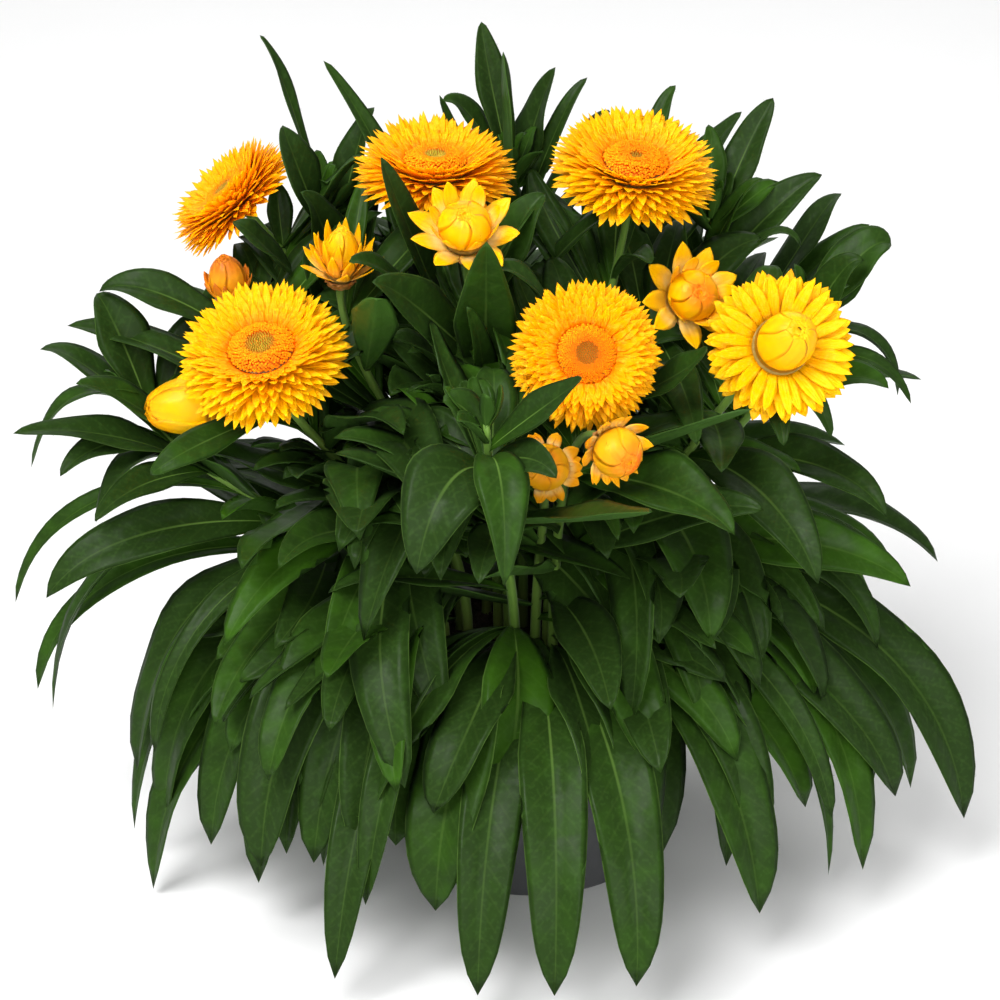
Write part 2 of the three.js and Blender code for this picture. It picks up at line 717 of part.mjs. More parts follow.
// A head is one skin. From the foot it goes up to a seat, out under a layer of bracts to their tips and back
// over it to the next seat, and so on to the crown. Bracts join at their sides as far as the bend.
function headGeometry(kind, scale) {
  const { count, layers, seats, crown } = kind;
  const points = [];
  const faces = [];
  const add = (radius, height, share) => {
    const angle = (share / count) * 2 * Math.PI;
    const point = new THREE.Vector3(radius * Math.cos(angle), radius * Math.sin(angle), height);
    points.push(point.multiplyScalar(scale));
    return points.length - 1;
  };
  const ring = ([radius, height]) => Array.from({ length: count }, (_, i) => add(radius, height, i));
  const flat = (loop) => {
    for (let i = 1; i + 1 < count; i += 1) faces.push([loop[0], loop[i], loop[i + 1]]);
  };
  const wall = (low, high) => {
    for (let i = 0; i < count; i += 1) {
      const k = (i + 1) % count;
      faces.push([low[i], low[k], high[k]], [low[i], high[k], high[i]]);
    }
  };
  // From a seat, with a point at each even place of the bend, out to the bend or back from it
  const stitch = (seat, bend, inward) => {
    for (let i = 0; i < count; i += 1) {
      const k = (i + 1) % count;
      const [near, middle, far] = [bend[2 * i], bend[2 * i + 1], bend[(2 * i + 2) % bend.length]];
      const fan = [[seat[i], middle, near], [seat[i], seat[k], middle], [seat[k], far, middle]];
      faces.push(...(inward ? fan.map(([p, q, r]) => [p, r, q]) : fan));
    }
  };
  let seat = ring(seats[0]);
  const foot = ring(kind.foot);
  flat([...foot].reverse());
  wall(foot, seat);
  layers.forEach(([tipRadius, tipHeight, bendRadius, bendHeight], row) => {
    const shift = row % 2 ? 0 : 0.5;
    const [seatRadius, seatHeight] = seats[row];
    const slope = Math.atan2(bendHeight - seatHeight, bendRadius - seatRadius);
    const half = BRACT_THICK / scale / 2;
    const inset = half * Math.sin(slope);
    const lift = half * Math.cos(slope);
    const under = [];
    const over = [];
    for (let i = 0; i < 2 * count; i += 1) {
      const share = i / 2;
      const isMiddle = (i % 2 === 1) === (shift === 0.5);
      if (isMiddle) {
        under.push(add(bendRadius + inset, bendHeight - lift, share));
        over.push(add(bendRadius - inset, bendHeight + lift, share));
      } else {
        under.push(add(bendRadius, bendHeight + BRACT_FOLD, share));
        over.push(under[i]);
      }
    }
    for (let i = 0; i < count; i += 1) {
      const middle = 2 * i + (row % 2 ? 0 : 1);
      const before = over[(middle + 2 * count - 1) % (2 * count)];
      const after = over[(middle + 1) % (2 * count)];
      const tip = add(tipRadius, tipHeight, middle / 2);
      faces.push([before, tip, over[middle]], [over[middle], tip, after]);
      faces.push([before, under[middle], tip], [under[middle], after, tip]);
    }
    stitch(seat, under, false);
    seat = ring(seats[row + 1]);
    stitch(seat, over, true);
  });
  for (const step of crown) {
    if (step[0] === 0) {
      const top = add(0, step[1], 0);
      for (let i = 0; i < count; i += 1) faces.push([seat[i], seat[(i + 1) % count], top]);
      return body(points, faces);
    }
    const next = ring(step);
    wall(seat, next);
    seat = next;
  }
  flat(seat);
  return body(points, faces);
}

function centreGeometry(kind, scale, frame) {
  const florets = (row, side) => (row < 3 ? 0 : 0.5 * ((side + row) % 2));
  return turned(scaled(kind.centre, scale), FLORET_SIDES, florets).applyMatrix4(frame);
}

// The space a head takes, for the leaves that pass it
function headRoom(kind, scale, frame) {
  const reach = Math.max(...kind.layers.map((layer) => layer[0])) * scale + 0.8;
  const low = Math.min(...kind.layers.map((layer) => layer[1])) * scale - 1;
  const high = Math.max(...kind.layers.map((layer) => layer[1])) * scale + 1;
  const foot = kind.foot[1] * scale;
  const profiles = [...kind.seats, ...kind.crown, ...(kind.centre ?? [])];
  const top = Math.max(...profiles.map((point) => point[1])) * scale + 0.8;
  const crest = Math.max(high, top);
  const profile = [
    [0, foot - 0.4],
    [3.4, foot - 0.4],
    [reach * 0.6, Math.min(low, foot * 0.5)],
    [reach, low + 1.2],
    [reach, Math.max(high - 1.2, low + 2)],
    [reach * 0.5, crest],
    [0, crest + 0.4],
  ];
  return turned(profile, 12).applyMatrix4(frame);
}

// The way from a head to the eye, which the leaves by rule leave open
function headView(kind, scale, centre) {
  const reach = Math.max(...kind.layers.map((layer) => layer[0])) * scale * 0.85;
  return turned([[0, 4], [reach, 4], [reach, 170], [0, 170]], 10).applyMatrix4(headFrame(centre, TO_EYE));
}

// Assembly

function planStems() {
  const front = STEMS.map((entry) => {
    const centre = seen(...entry.at);
    if (!entry.head) {
      return { ...entry, end: centre, facing: UP.clone() };
    }
    const facing = new THREE.Vector3(...entry.faces).normalize();
    const { kind, scale } = HEADS[entry.head];
    const foot = -KINDS[kind].foot[1] * scale + GAP;
    return { ...entry, centre, facing, end: centre.clone().addScaledVector(facing, -foot) };
  });
  const back = BACK_SHOOTS.map(([name, bearing, reach, height, count]) => {
    const angle = (bearing * Math.PI) / 180;
    const end = new THREE.Vector3(reach * Math.cos(angle), reach * Math.sin(angle), height);
    const facing = new THREE.Vector3(Math.cos(angle) * 0.5, Math.sin(angle) * 0.5, 0.9).normalize();
    return { name, end, facing, count };
  });
  return [...front, ...back].map((stem) => {
    const curve = stemCurve(stem.end, stem.facing);
    return { ...stem, curve, base: curve.v0.clone() };
  });
}

function listedLeaves(stem) {
  return stem.leaves.map(([along, right, up, y, width, rise, arch, turn]) => {
    const way = { curve: stem.curve, along, root: stem.curve.getPoint(along), aim: seen(right, up, y) };
    return { ...way, fromFront: true, right, up, width, rise, arch, turn };
  });
}

// Leaves by rule on a back shoot: long and hanging low down, short and upright at the end
function ruledLeaves(stem, random) {
  const leaves = [];
  const bearing = Math.atan2(stem.end.y, stem.end.x);
  for (let i = 0; i < stem.count; i += 1) {
    const share = i / (stem.count - 1);
    const along = 0.03 + 0.9 * share;
    const root = stem.curve.getPoint(along);
    const swing = (i % 2 ? 1 : -1) * (0.25 + 0.5 * random()) + (share > 0.7 ? (random() - 0.5) * 2 : 0);
    const angle = bearing + swing;
    const length = 128 - 66 * share + 14 * random();
    const climb = -0.75 + 1.5 * share + 0.2 * random();
    const out = length * Math.cos(climb);
    const aim = new THREE.Vector3(root.x + out * Math.cos(angle), root.y + out * Math.sin(angle), 0);
    aim.z = Math.max(root.z + length * Math.sin(climb), 14 + 30 * random());
    const width = 24 - 10 * share;
    leaves.push({ curve: stem.curve, along, root, aim, width, rise: 4, arch: 6, turn: 0 });
  }
  return leaves;
}

// Leaves by rule on a listed stem, between the listed ones, so that the plant is dense behind its face
function fillingLeaves(stem, random) {
  const leaves = [];
  const bearing = Math.atan2(stem.end.y, stem.end.x);
  for (let i = 0; i < FILL_COUNT; i += 1) {
    const along = 0.16 + (0.62 * (i + random() * 0.8)) / FILL_COUNT;
    const root = stem.curve.getPoint(along);
    const angle = bearing + (i % 2 ? 1 : -1) * (0.5 + 1.4 * random());
    const length = 62 + 34 * random();
    const climb = -0.1 + 0.8 * along + 0.3 * random();
    const out = length * Math.cos(climb);
    const aim = new THREE.Vector3(out * Math.cos(angle), out * Math.sin(angle), length * Math.sin(climb));
    aim.add(root);
    const width = 15 + 4 * random();
    leaves.push({ curve: stem.curve, along, root, aim, width, rise: 6, arch: 8, turn: 0.2 });
  }
  return leaves;
}

function named(name, geometry, material) {
  const mesh = new THREE.Mesh(geometry, material.clone());
  mesh.name = name;
  return mesh;
}

function build() {
  const plant = new THREE.Group();
  plant.name = 'potted_strawflower';
  const stems = planStems();
  const random = seeded(20);

  const pot = geometryOf(potSolid());
  const soil = geometryOf(soilSolid(stems));
  plant.add(named('pot', pot, POT_GREY), named('soil', soil, SOIL_BROWN));
  const potRoom = turned([
    [0, 0],
    [POT_BASE_RADIUS, 0],
    [RIM_RADIUS + GAP, POT_HEIGHT + GAP],
    [POT_TOP_RADIUS - POT_WALL - 1, POT_HEIGHT + GAP],
    [POT_TOP_RADIUS - POT_WALL - 1, SOIL_TOP + SOIL_LUMP],
    [0, SOIL_TOP + SOIL_LUMP + 1],
  ], SOIL_SIDES);

  const obstacles = [obstacle(potRoom)];
  const views = [];
  for (const stem of stems) {
    obstacles.push(obstacle(stemGeometry(stem.curve, 0.35), stem.name));
    if (!stem.head) continue;
    const { kind, scale } = HEADS[stem.head];
    const frame = headFrame(stem.centre, stem.facing);
    obstacles.push(obstacle(headRoom(KINDS[kind], scale, frame)));
    views.push(obstacle(headView(KINDS[kind], scale, stem.centre)));
    const bud = !KINDS[kind].centre;
    const bracts = headGeometry(KINDS[kind], scale).applyMatrix4(frame);
    plant.add(named(bud ? stem.head : `${stem.head}_bracts`, bracts, bud ? BUD_GOLD : BRACT_YELLOW));
    if (bud) continue;
    plant.add(named(`${stem.head}_centre`, centreGeometry(KINDS[kind], scale, frame), FLORET_ORANGE));
  }

  const leafy = stems.map((stem) => ({ stem, blades: [] }));
  const grow = ({ stem, blades }, leaf, around) => {
    const bend = BENDS.find((way) => isClear(leafGeometry(bent(leaf, way), CLEAR), around, stem.name));
    if (!bend) return;
    const geometry = leafGeometry(bent(leaf, bend));
    obstacles.push(obstacle(geometry));
    blades.push(solid(geometry));
  };
  const listed = leafy.filter((one) => one.stem.leaves);
  const byHand = listed.flatMap((one) => listedLeaves(one.stem).map((leaf) => ({ one, leaf })));
  byHand.sort((a, b) => Math.min(a.leaf.aim.z, HANGING) - Math.min(b.leaf.aim.z, HANGING));
  for (const { one, leaf } of byHand) grow(one, leaf, obstacles);
  for (const one of leafy.filter((each) => !each.stem.leaves)) {
    for (const leaf of ruledLeaves(one.stem, random)) grow(one, leaf, obstacles);
  }
  for (const one of listed) {
    for (const leaf of fillingLeaves(one.stem, random)) grow(one, leaf, [...obstacles, ...views]);
  }
  for (const { stem, blades } of leafy) {
    const whole = joined(solid(stemGeometry(stem.curve)), blades);
    plant.add(named(stem.name, geometryOf(whole), LEAF_GREEN));
  }
  return plant;
}

export default build();
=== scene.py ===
"""Potted strawflower: a nursery pot of soil, leafy stems, papery blooms, florets and buds.

Lengths in the plan lists and in the shapes are in millimetres. A point of the plan is given as it is seen
from the front: how far right and how far up in the view, and its true Y. Settings and pieces are in metres.
"""

import math
import random
from functools import lru_cache
from itertools import product

import bpy
import numpy as np
from bpy.props import FloatProperty, FloatVectorProperty, IntProperty, PointerProperty
from bpy.types import Operator, Panel, PropertyGroup
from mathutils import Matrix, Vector, noise
from mathutils.kdtree import KDTree


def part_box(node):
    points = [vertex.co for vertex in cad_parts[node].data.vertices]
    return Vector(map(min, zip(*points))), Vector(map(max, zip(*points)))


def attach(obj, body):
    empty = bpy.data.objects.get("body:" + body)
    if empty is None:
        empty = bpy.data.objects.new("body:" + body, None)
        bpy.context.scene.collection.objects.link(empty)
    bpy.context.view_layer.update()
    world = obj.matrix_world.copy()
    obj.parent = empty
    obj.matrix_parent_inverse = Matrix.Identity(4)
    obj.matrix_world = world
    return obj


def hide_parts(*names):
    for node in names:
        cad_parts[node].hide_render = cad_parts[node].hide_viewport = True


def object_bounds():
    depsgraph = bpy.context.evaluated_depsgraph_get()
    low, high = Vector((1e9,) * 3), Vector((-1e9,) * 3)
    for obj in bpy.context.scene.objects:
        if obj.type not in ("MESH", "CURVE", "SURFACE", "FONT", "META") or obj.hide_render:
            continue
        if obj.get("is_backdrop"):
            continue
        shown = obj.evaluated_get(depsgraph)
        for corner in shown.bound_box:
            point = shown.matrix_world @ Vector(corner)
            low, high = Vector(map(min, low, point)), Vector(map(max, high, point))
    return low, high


bl_info = {
    "name": "Potted strawflower",
    "version": (1, 0, 0),
    "blender": (4, 5, 0),
    "location": "3D View > Sidebar > Strawflower",
    "description": "Builds a strawflower in a nursery pot: soil, leafy stems, blooms and buds",
    "category": "Add Mesh",
}

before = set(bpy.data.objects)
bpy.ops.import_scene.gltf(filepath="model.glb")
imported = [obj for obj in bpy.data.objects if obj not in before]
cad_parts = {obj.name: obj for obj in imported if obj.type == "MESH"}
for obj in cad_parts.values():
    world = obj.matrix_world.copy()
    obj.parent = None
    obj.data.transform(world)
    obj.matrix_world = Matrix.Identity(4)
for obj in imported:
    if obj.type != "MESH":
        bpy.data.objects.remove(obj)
CAD_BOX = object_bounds()
POT_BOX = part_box("pot")

MM = 0.001
UP = np.array([0.0, 0.0, 1.0])

# The camera in front: its tilt, how far it is from the point that it aims at, and how wide its view is there
EYE_TILT = math.radians(24)
EYE_FAR = 1250
EYE_AIM = np.array([-11.0, 0.0, 141.0])
TO_EYE = np.array([0.0, -math.cos(EYE_TILT), math.sin(EYE_TILT)])
VIEW_WIDTH = 370
SENSOR_WIDTH = 36

# Sizes of the plan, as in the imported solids
GAP = 0.3
POT_HEIGHT = 92
POT_WALL = 1.6
POT_FLOOR = 2.4
POT_BASE_RADIUS = 48
POT_TOP_RADIUS = 63
RIM_HEIGHT = 9
DRAIN_RADIUS = 5
DRAIN_CIRCLE = 33
DRAIN_COUNT = 5
SOIL_TOP = 83
STEM_BASE_RADIUS = 2.1
STEM_TOP_RADIUS = 1.35
STEM_DEPTH = 12
STEM_FREE = 88
CROWN = 0.34
LEAF_ROOT_WIDTH = 2.2
LEAF_FOLD = 0.22
FILL_COUNT = 2
LOWEST_LEAF = 3

# A packed leaf was bent clear of its neighbours in these steps. The copy lies this near to it.
SLIDES = (0, 0.06, -0.05, 0.14)
SHRINKS = (0, 0.14, 0.28)
TURNS = (0, -6, 6, -13, 13, -21, 21)
LIFTS = (0, 8, -6, 18)
PUSHES = (0, 10, -8)
ROLLS = (0, 0.4, -0.4)
LEAF_MATCH = 0.06

# Where the dark opening in front is, how far it reaches, right and up in the view, and where it ends behind
OPENING = (7, -42)
OPENING_REACH = (30, 26)
OPENING_NEARNESS = -20

# Young leaves keep their tips inside this rounded body
PLANT_CENTRE = (-12, 0, 105)
PLANT_REACH = (146, 118, 185)

# Leaves of the skirt: how far out their tips are, and their lowest and highest tip
SKIRT_ROWS = ((94, 14, 50), (112, 22, 60), (128, 40, 85))
RIM_CLEARANCE = 68

# Stations, places across, hairs on the margins and sideways sway of each sort of leaf
BROAD_DETAIL = (22, 9, 26, 0.02)
NARROW_DETAIL = (22, 7, 26, 0.02)
NEIGHBOUR_DETAIL = (18, 7, 12, 0.07)
SKIRT_DETAIL = (18, 7, 12, 0.09)
FULLER_DETAIL = (20, 7, 12, 0.02)
YOUNG_DETAIL = (13, 5, 6, 0.08)
TIP_DETAIL = (10, 5, 6, 0.02)

STEM_RIBS = 5
STEM_HAIRS = 110
TIP_LEAVES = 9
SPIRAL_TURN = 2.4
FLORET_TURN = 2.399963
DISC_RADIUS = 11
OPEN_FLORET = 0.3
FULL_SIZE_FLORETS = 380

# First seed of the draws of each kind of piece
PLAN_SEED = 20
SOIL_SEED = 7
SKIRT_SEED = 90
STEM_SEED = 100
BLOOM_SEED = 300
FLORET_SEED = 500
BUD_SEED = 700

# Outline of a leaf, from this width up: how far along, and how wide there as a share
LEAF_SHAPES = (
    (20, (0, 0.11, 0.3, 0.52, 0.74, 0.9), (0, 0.34, 0.78, 1, 0.82, 0.45)),
    (13, (0, 0.15, 0.4, 0.66, 0.88), (0, 0.45, 0.95, 0.92, 0.48)),
    (0, (0, 0.24, 0.56, 0.84), (0, 0.7, 1, 0.55)),
)

# Each stem: name, end, the way its head faces, its head, and its leaves: how far along the stem, then the
# tip's right, up and Y, the width, the rise near the root, the arch near the tip, and the turn to the front.
STEMS = [
    ("leafy_stem_high_left", (-100, 113, 28), (-0.66, -0.06, 0.74), "bloom_high_left", (
        (0.82, -98, 104, 2, 12, 2, 4, 0.6),
        (0.9, -84, 129, 22, 11, 2, 2, 0.5),
        (0.55, -72, 92, 10, 15, 2, 2, 0.7),
    )),
    ("leafy_stem_top_middle", (-24, 124, 5), (0.03, -0.12, 0.99), "bloom_top_middle", (
        (0.8, -64, 163, 35, 8, 4, 6, 0.3),
        (0.72, -44, 127, -26, 13, 2, 4, 0.7),
        (0.62, -56, 88, -38, 10, 16, 16, 0.5),
    )),
    ("leafy_stem_top_right", (50, 124, 5), (0.1, -0.27, 0.96), "bloom_top_right", (
        (0.74, 56, 87, -28, 9, 8, 8, 0.5),
        (0.6, 68, 62, -35, 14, 6, 10, 0.5),
        (0.84, 64, 154, 42, 9, 2, 4, 0.3),
    )),
    ("leafy_stem_left", (-88, 55, -38), (-0.12, -0.45, 0.88), "bloom_left", (
        (0.5, -52, -15, -90, 21, 18, 30, 0.7),
        (0.3, -82, -24, -84, 17, 10, 14, 0.6),
        (0.05, -88, -136, -98, 28, 0, 0, 0.3),
        (0.12, -80, -132, -64, 18, 0, 0, 0.3),
        (0.2, -86, -104, -104, 20, 0, 0, 0.3),
    )),
    ("leafy_stem_centre", (32, 54, -66), (0.03, -0.88, 0.47), "bloom_centre", (
        (0.2, 46, -74, -112, 17, 0, 0, 0.5),
        (0.4, 44, -12, -108, 10, 4, 6, 0.5),
        (0.82, -26, 88, -64, 9, 34, 30, 0.4),
    )),
    ("leafy_stem_right", (104, 57, -48), (0.12, -0.86, 0.5), "bloom_right", (
        (0.9, 105, 20, -62, 9, 0, 4, 0.6),
        (0.86, 123, 23, -44, 9, 2, 6, 0.6),
        (0.5, 118, -31, -84, 22, 8, 12, 0.6),
        (0.26, 152, -32, -46, 22, 8, 16, 0.6),
        (0.05, 96, -153, -98, 27, 0, 0, 0.3),
        (0.08, 123, -118, -72, 12, 0, 0, 0.4),
        (0.62, 82, 11, -82, 16, 4, 6, 0.6),
    )),
    ("leafy_stem_bud_right", (70, 75, -14), (0.3, -0.82, 0.48), "bud_right", (
        (0.84, 73, 20, -62, 13, 2, 8, 0.6),
        (0.12, 59, -100, -112, 21, 0, 0, 0.4),
        (0.2, 80, -55, -92, 13, 2, 4, 0.4),
    )),
    ("leafy_stem_bud_top", (-13, 99, -40), (0, -0.62, 0.78), "bud_top", (
        (0.55, -5, 96, -58, 20, 2, 2, 0.8),
        (0.55, -46, 81, -66, 18, 2, 6, 0.8),
        (0.42, -10, 70, -60, 10, 2, 2, 0.7),
        (0.3, -22, -30, -108, 27, 18, 26, 0.7),
        (0.7, 16, 114, -12, 15, 4, 6, 0.6),
    )),
    ("leafy_stem_bud_far_left", (-108, 36, -16), (-0.97, -0.2, -0.06), "bud_far_left", (
        (0.8, -130, 9, -58, 12, 4, 6, 0.6),
        (0.05, -61, -177, -126, 18, 0, 0, 0.3),
        (0.12, -64, -67, -104, 18, 0, 4, 0.5),
    )),
    ("leafy_stem_bud_left", (-100, 77, 2), (-0.12, -0.1, 0.98), "bud_left", (
        (0.86, -149, 78, 8, 14, 8, 12, 0.6),
        (0.45, -23, -13, -100, 26, 26, 36, 0.7),
        (0.12, -106, -83, -84, 17, 0, 0, 0.4),
    )),
    ("leafy_stem_bud_high_left", (-59, 85, -14), (0.06, -0.2, 0.98), "bud_high_left", (
        (0.92, -46, 141, 4, 9, 6, 10, 0.3),
        (0.6, -80, 74, -34, 10, 4, 4, 0.6),
        (0.06, -50, -150, -106, 15, 0, 0, 0.3),
    )),
    ("leafy_stem_bud_front", (17, 12, -84), (-0.05, -0.9, 0.42), "bud_front", (
        (0.04, -8, -184, -138, 22, 0, 0, 0.3),
        (0.08, 20, -184, -146, 23, 0, 0, 0.3),
    )),
    ("leafy_stem_bud_front_right", (42, 19, -94), (0.45, -0.86, -0.1), "bud_front_right", (
        (0.6, 87, -12, -112, 22, 6, 10, 0.6),
        (0.3, 97, -3, -84, 18, 8, 12, 0.6),
        (0.05, 51, -181, -142, 24, 0, 0, 0.3),
    )),
    ("leafy_shoot_front", (-5, 28, -94), None, None, (
        (0.97, -21, 37, -98, 12, 2, 4, 0.7),
        (0.93, -14, 44, -86, 8, 1, 2, 0.7),
        (0.9, 31, 45, -112, 11, 2, 2, 0.7),
        (0.84, 21, 8, -114, 12, 5, 8, 0.7),
        (0.7, 6, -18, -114, 11, 2, 4, 0.7),
        (0.6, -8, -29, -120, 14, 4, 8, 0.7),
        (0.08, -25, -153, -118, 30, 0, 0, 0.3),
    )),
    ("leafy_shoot_top", (4, 122, 40), None, None, (
        (0.98, -7, 177, 52, 12, 2, 2, 0.4),
        (0.88, 1, 166, 34, 13, 2, 3, 0.5),
        (0.92, 19, 160, 46, 14, 2, 2, 0.5),
        (0.84, 31, 157, 50, 8, 3, 3, 0.5),
        (0.8, -22, 150, 50, 8, 3, 3, 0.5),
        (0.94, -20, 149, 28, 10, 8, 8, 0.5),
        (0.76, 41, 143, 28, 9, 8, 16, 0.4),
        (0.7, 3, 140, 18, 14, 4, 4, 0.6),
        (0.62, 53, 107, -18, 11, 14, 16, 0.5),
        (0.48, 4, 87, -22, 12, 2, 2, 0.8),
        (0.36, -40, 60, -10, 18, 4, 6, 0.7),
        (0.3, 20, 40, -20, 18, 4, 6, 0.7),
    )),
    ("leafy_shoot_high_left", (-66, 110, 34), None, None, (
        (0.97, -89, 172, 44, 6, 8, 10, 0.2),
        (0.92, -80, 139, 30, 19, 2, 2, 0.7),
        (0.84, -48, 146, 44, 12, 4, 6, 0.4),
        (0.75, -71, 114, 8, 15, 2, 3, 0.7),
    )),
    ("leafy_shoot_high_right", (78, 106, 34), None, None, (
        (0.95, 78, 139, 44, 10, 2, 2, 0.4),
        (0.9, 101, 149, 52, 13, 2, 2, 0.5),
        (0.84, 95, 120, 26, 10, 4, 4, 0.5),
        (0.78, 119, 121, 40, 15, 4, 6, 0.6),
        (0.68, 113, 95, 16, 6, 16, 24, 0.3),
    )),
    ("leafy_shoot_right", (114, 70, 14), None, None, (
        (0.95, 146, 95, 22, 18, 8, 14, 0.6),
        (0.86, 133, 90, 4, 13, 6, 8, 0.7),
        (0.76, 153, 36, -10, 8, 16, 20, 0.4),
        (0.66, 144, 42, -26, 15, 8, 12, 0.6),
        (0.5, 144, -5, -44, 17, 8, 14, 0.6),
        (0.28, 142, -55, -30, 15, 6, 12, 0.5),
        (0.02, 172, -118, -36, 26, 0, 6, 0.4),
        (0.06, 124, -139, -44, 12, 0, 0, 0.3),
        (0.1, 138, -128, -4, 12, 0, 0, 0.3),
    )),
    ("leafy_shoot_left", (-134, 40, -2), None, None, (
        (0.96, -178, 9, -14, 8, 10, 16, 0.4),
        (0.88, -170, 56, 14, 11, 6, 8, 0.6),
        (0.78, -163, 9, -34, 12, 8, 10, 0.6),
        (0.66, -150, -8, -50, 12, 6, 10, 0.6),
        (0.42, -169, -36, -34, 20, 8, 16, 0.6),
        (0.54, -180, -38, -2, 8, 8, 12, 0.4),
        (0.26, -171, -70, 2, 11, 6, 10, 0.5),
        (0.3, -129, -94, -58, 9, 6, 8, 0.5),
        (0.02, -129, -150, -48, 20, 0, 4, 0.4),
        (0.08, -136, -122, -22, 13, 0, 0, 0.4),
    )),
]

# Shoots behind: name, bearing, reach, height of the end, leaf count
BACK_SHOOTS = (
    ("leafy_shoot_back_right", 28, 96, 196, 7),
    ("leafy_shoot_back_mid_right", 62, 88, 214, 7),
    ("leafy_shoot_back_middle", 96, 92, 200, 7),
    ("leafy_shoot_back_mid_left", 122, 90, 212, 7),
    ("leafy_shoot_back_left", 148, 92, 190, 7),
)

# Leaves that fill the outline, each with its stem, as in STEMS
FULLER_LEAVES = (
    ("leafy_shoot_left", 0.75, -170, 57, -5, 17, 6, 10, 0.3),
    ("leafy_shoot_left", 0.85, -149, 77, 10, 19, 8, 8, 0.4),
    ("leafy_shoot_left", 0.6, -157, 43, -25, 16, 8, 10, 0.3),
    ("leafy_stem_bud_far_left", 0.78, -160, 64, 12, 15, 8, 10, 0.3),
    ("leafy_stem_bud_left", 0.72, -97, 97, 34, 16, 6, 8, 0.3),
    ("leafy_stem_high_left", 0.62, -82, 92, 44, 15, 4, 6, 0.2),
    ("leafy_shoot_left", 0.9, -174, 12, -10, 9, 16, 18, 0),
    ("leafy_shoot_left", 0.7, -151, -8, -30, 12, 12, 14, 0),
    ("leafy_shoot_left", 0.3, -167, -78, -10, 11, 18, 24, 0),
    ("leafy_shoot_left", 0.2, -131, -92, -40, 10, 12, 20, 0),
    ("leafy_shoot_right", 0.85, 150, 39, 5, 9, 14, 16, 0),
    ("leafy_stem_right", 0.3, 141, -55, -20, 9, 12, 18, 0),
    ("leafy_shoot_right", 0.3, 149, -30, 0, 10, 10, 16, 0),
    ("leafy_shoot_left", 0.12, -126, -120, -45, 23, 8, 12, 0.1),
    ("leafy_shoot_left", 0.06, -108, -128, -58, 25, 6, 10, 0.1),
    ("leafy_shoot_left", 0.24, -134, -100, -30, 20, 8, 12, 0.1),
    ("leafy_stem_left", 0.08, -90, -142, -70, 24, 6, 8, 0.1),
    ("leafy_shoot_front", 0.8, -31, -28, -124, 26, 10, 10, 0.5),
    ("leafy_shoot_front", 0.85, 2, -32, -128, 17, 8, 10, 0.3),
    ("leafy_stem_left", 0.7, -115, 17, -8, 21, 10, 8, 0.3),
    ("leafy_stem_left", 0.45, -53, -13, -98, 28, 14, 14, 0.5),
    ("leafy_stem_bud_high_left", 0.35, -26, -19, -104, 28, 14, 14, 0.5),
    ("leafy_stem_right", 0.35, 79, -52, -88, 26, 12, 12, 0.4),
    ("leafy_stem_centre", 0.15, 57, -100, -100, 24, 8, 10, 0.2),
    ("leafy_stem_bud_front_right", 0.2, 41, -78, -116, 20, 8, 10, 0.3),
    ("leafy_stem_left", 0.2, -64, -66, -110, 22, 8, 8, 0.3),
)

# Heads, [radius, height] about the axis of the head. A layer of bracts has its tip and its bend.
KINDS = {
    "open": {
        "foot": (3, -10),
        "seats": ((8.6, -6.6), (10.6, -4.4), (11.4, -2), (11.6, 0.4)),
        "layers": (((30, -7), (19, -5.4)), ((29, 2.5), (18, 0)), ((23, 10), (15.6, 4))),
        "crown": (),
        "centre": ((0, 4.2), (3.6, 4.9), (7.8, 4.8), (10.4, 2.4), (9.6, 0.7)),
    },
    "closed": {
        "foot": (3, -10),
        "seats": ((8.6, -6.6), (10.8, -3), (11.2, 0.4)),
        "layers": (((29.5, -4), (19, -3.6)), ((27.5, 5), (17, 1.8))),
        "crown": (),
        "centre": ((8.8, 0.7), (9.8, 4), (9, 8.4), (5.4, 13), (0, 15.4)),
    },
    "star": {
        "foot": (2.6, -8),
        "seats": ((6, -4.6), (7, -1), (7.4, 1.6)),
        "layers": (((17.6, 4), (10, 0.4)), ((11.4, 12), (9.4, 5.4))),
        "crown": ((7.4, 1.6), (7.4, 5), (5.2, 8.4), (0, 10.2)),
    },
    "cone": {
        "foot": (2.4, -5),
        "seats": ((6, -2.6), (7.6, 0.4)),
        "layers": (((15, 1.5), (9.6, -0.4)),),
        "crown": ((7.6, 0.4), (8.6, 5), (7.4, 12.8), (3.4, 19), (0, 20.4)),
    },
    "small": {
        "foot": (2, -5),
        "seats": ((4.4, -2.4), (5.4, 0.6)),
        "layers": (((8.8, 7), (7, 1)),),
        "crown": ((5.4, 0.6), (6, 4), (4.8, 9.6), (0, 14.6)),
    },
    "tulip": {
        "foot": (2.4, -6),
        "seats": ((4.8, -2.6), (5.8, 0.4), (6, 3)),
        "layers": (((16, 7), (9.4, 1)), ((8.8, 17), (8, 7.6))),
        "crown": ((6, 3), (6.2, 7), (4.6, 12.6), (0, 18.6)),
    },
    "dome": {
        "foot": (2.6, -6),
        "seats": ((6.2, -3.2), (7.6, -0.2)),
        "layers": (((13.6, 2.5), (9.6, -1)),),
        "crown": ((7.6, -0.2), (8, 3.4), (5.4, 8.6), (0, 11)),
    },
}

# The closed bloom's cone leans this way, by this much for each millimetre of its height
CLOSED_LEAN = np.array([1.0, 0.4, 0.9])
CLOSED_SLANT = 0.35

# Heads of these kinds are blooms, and the others are buds
BLOOM_KINDS = ("open", "closed")

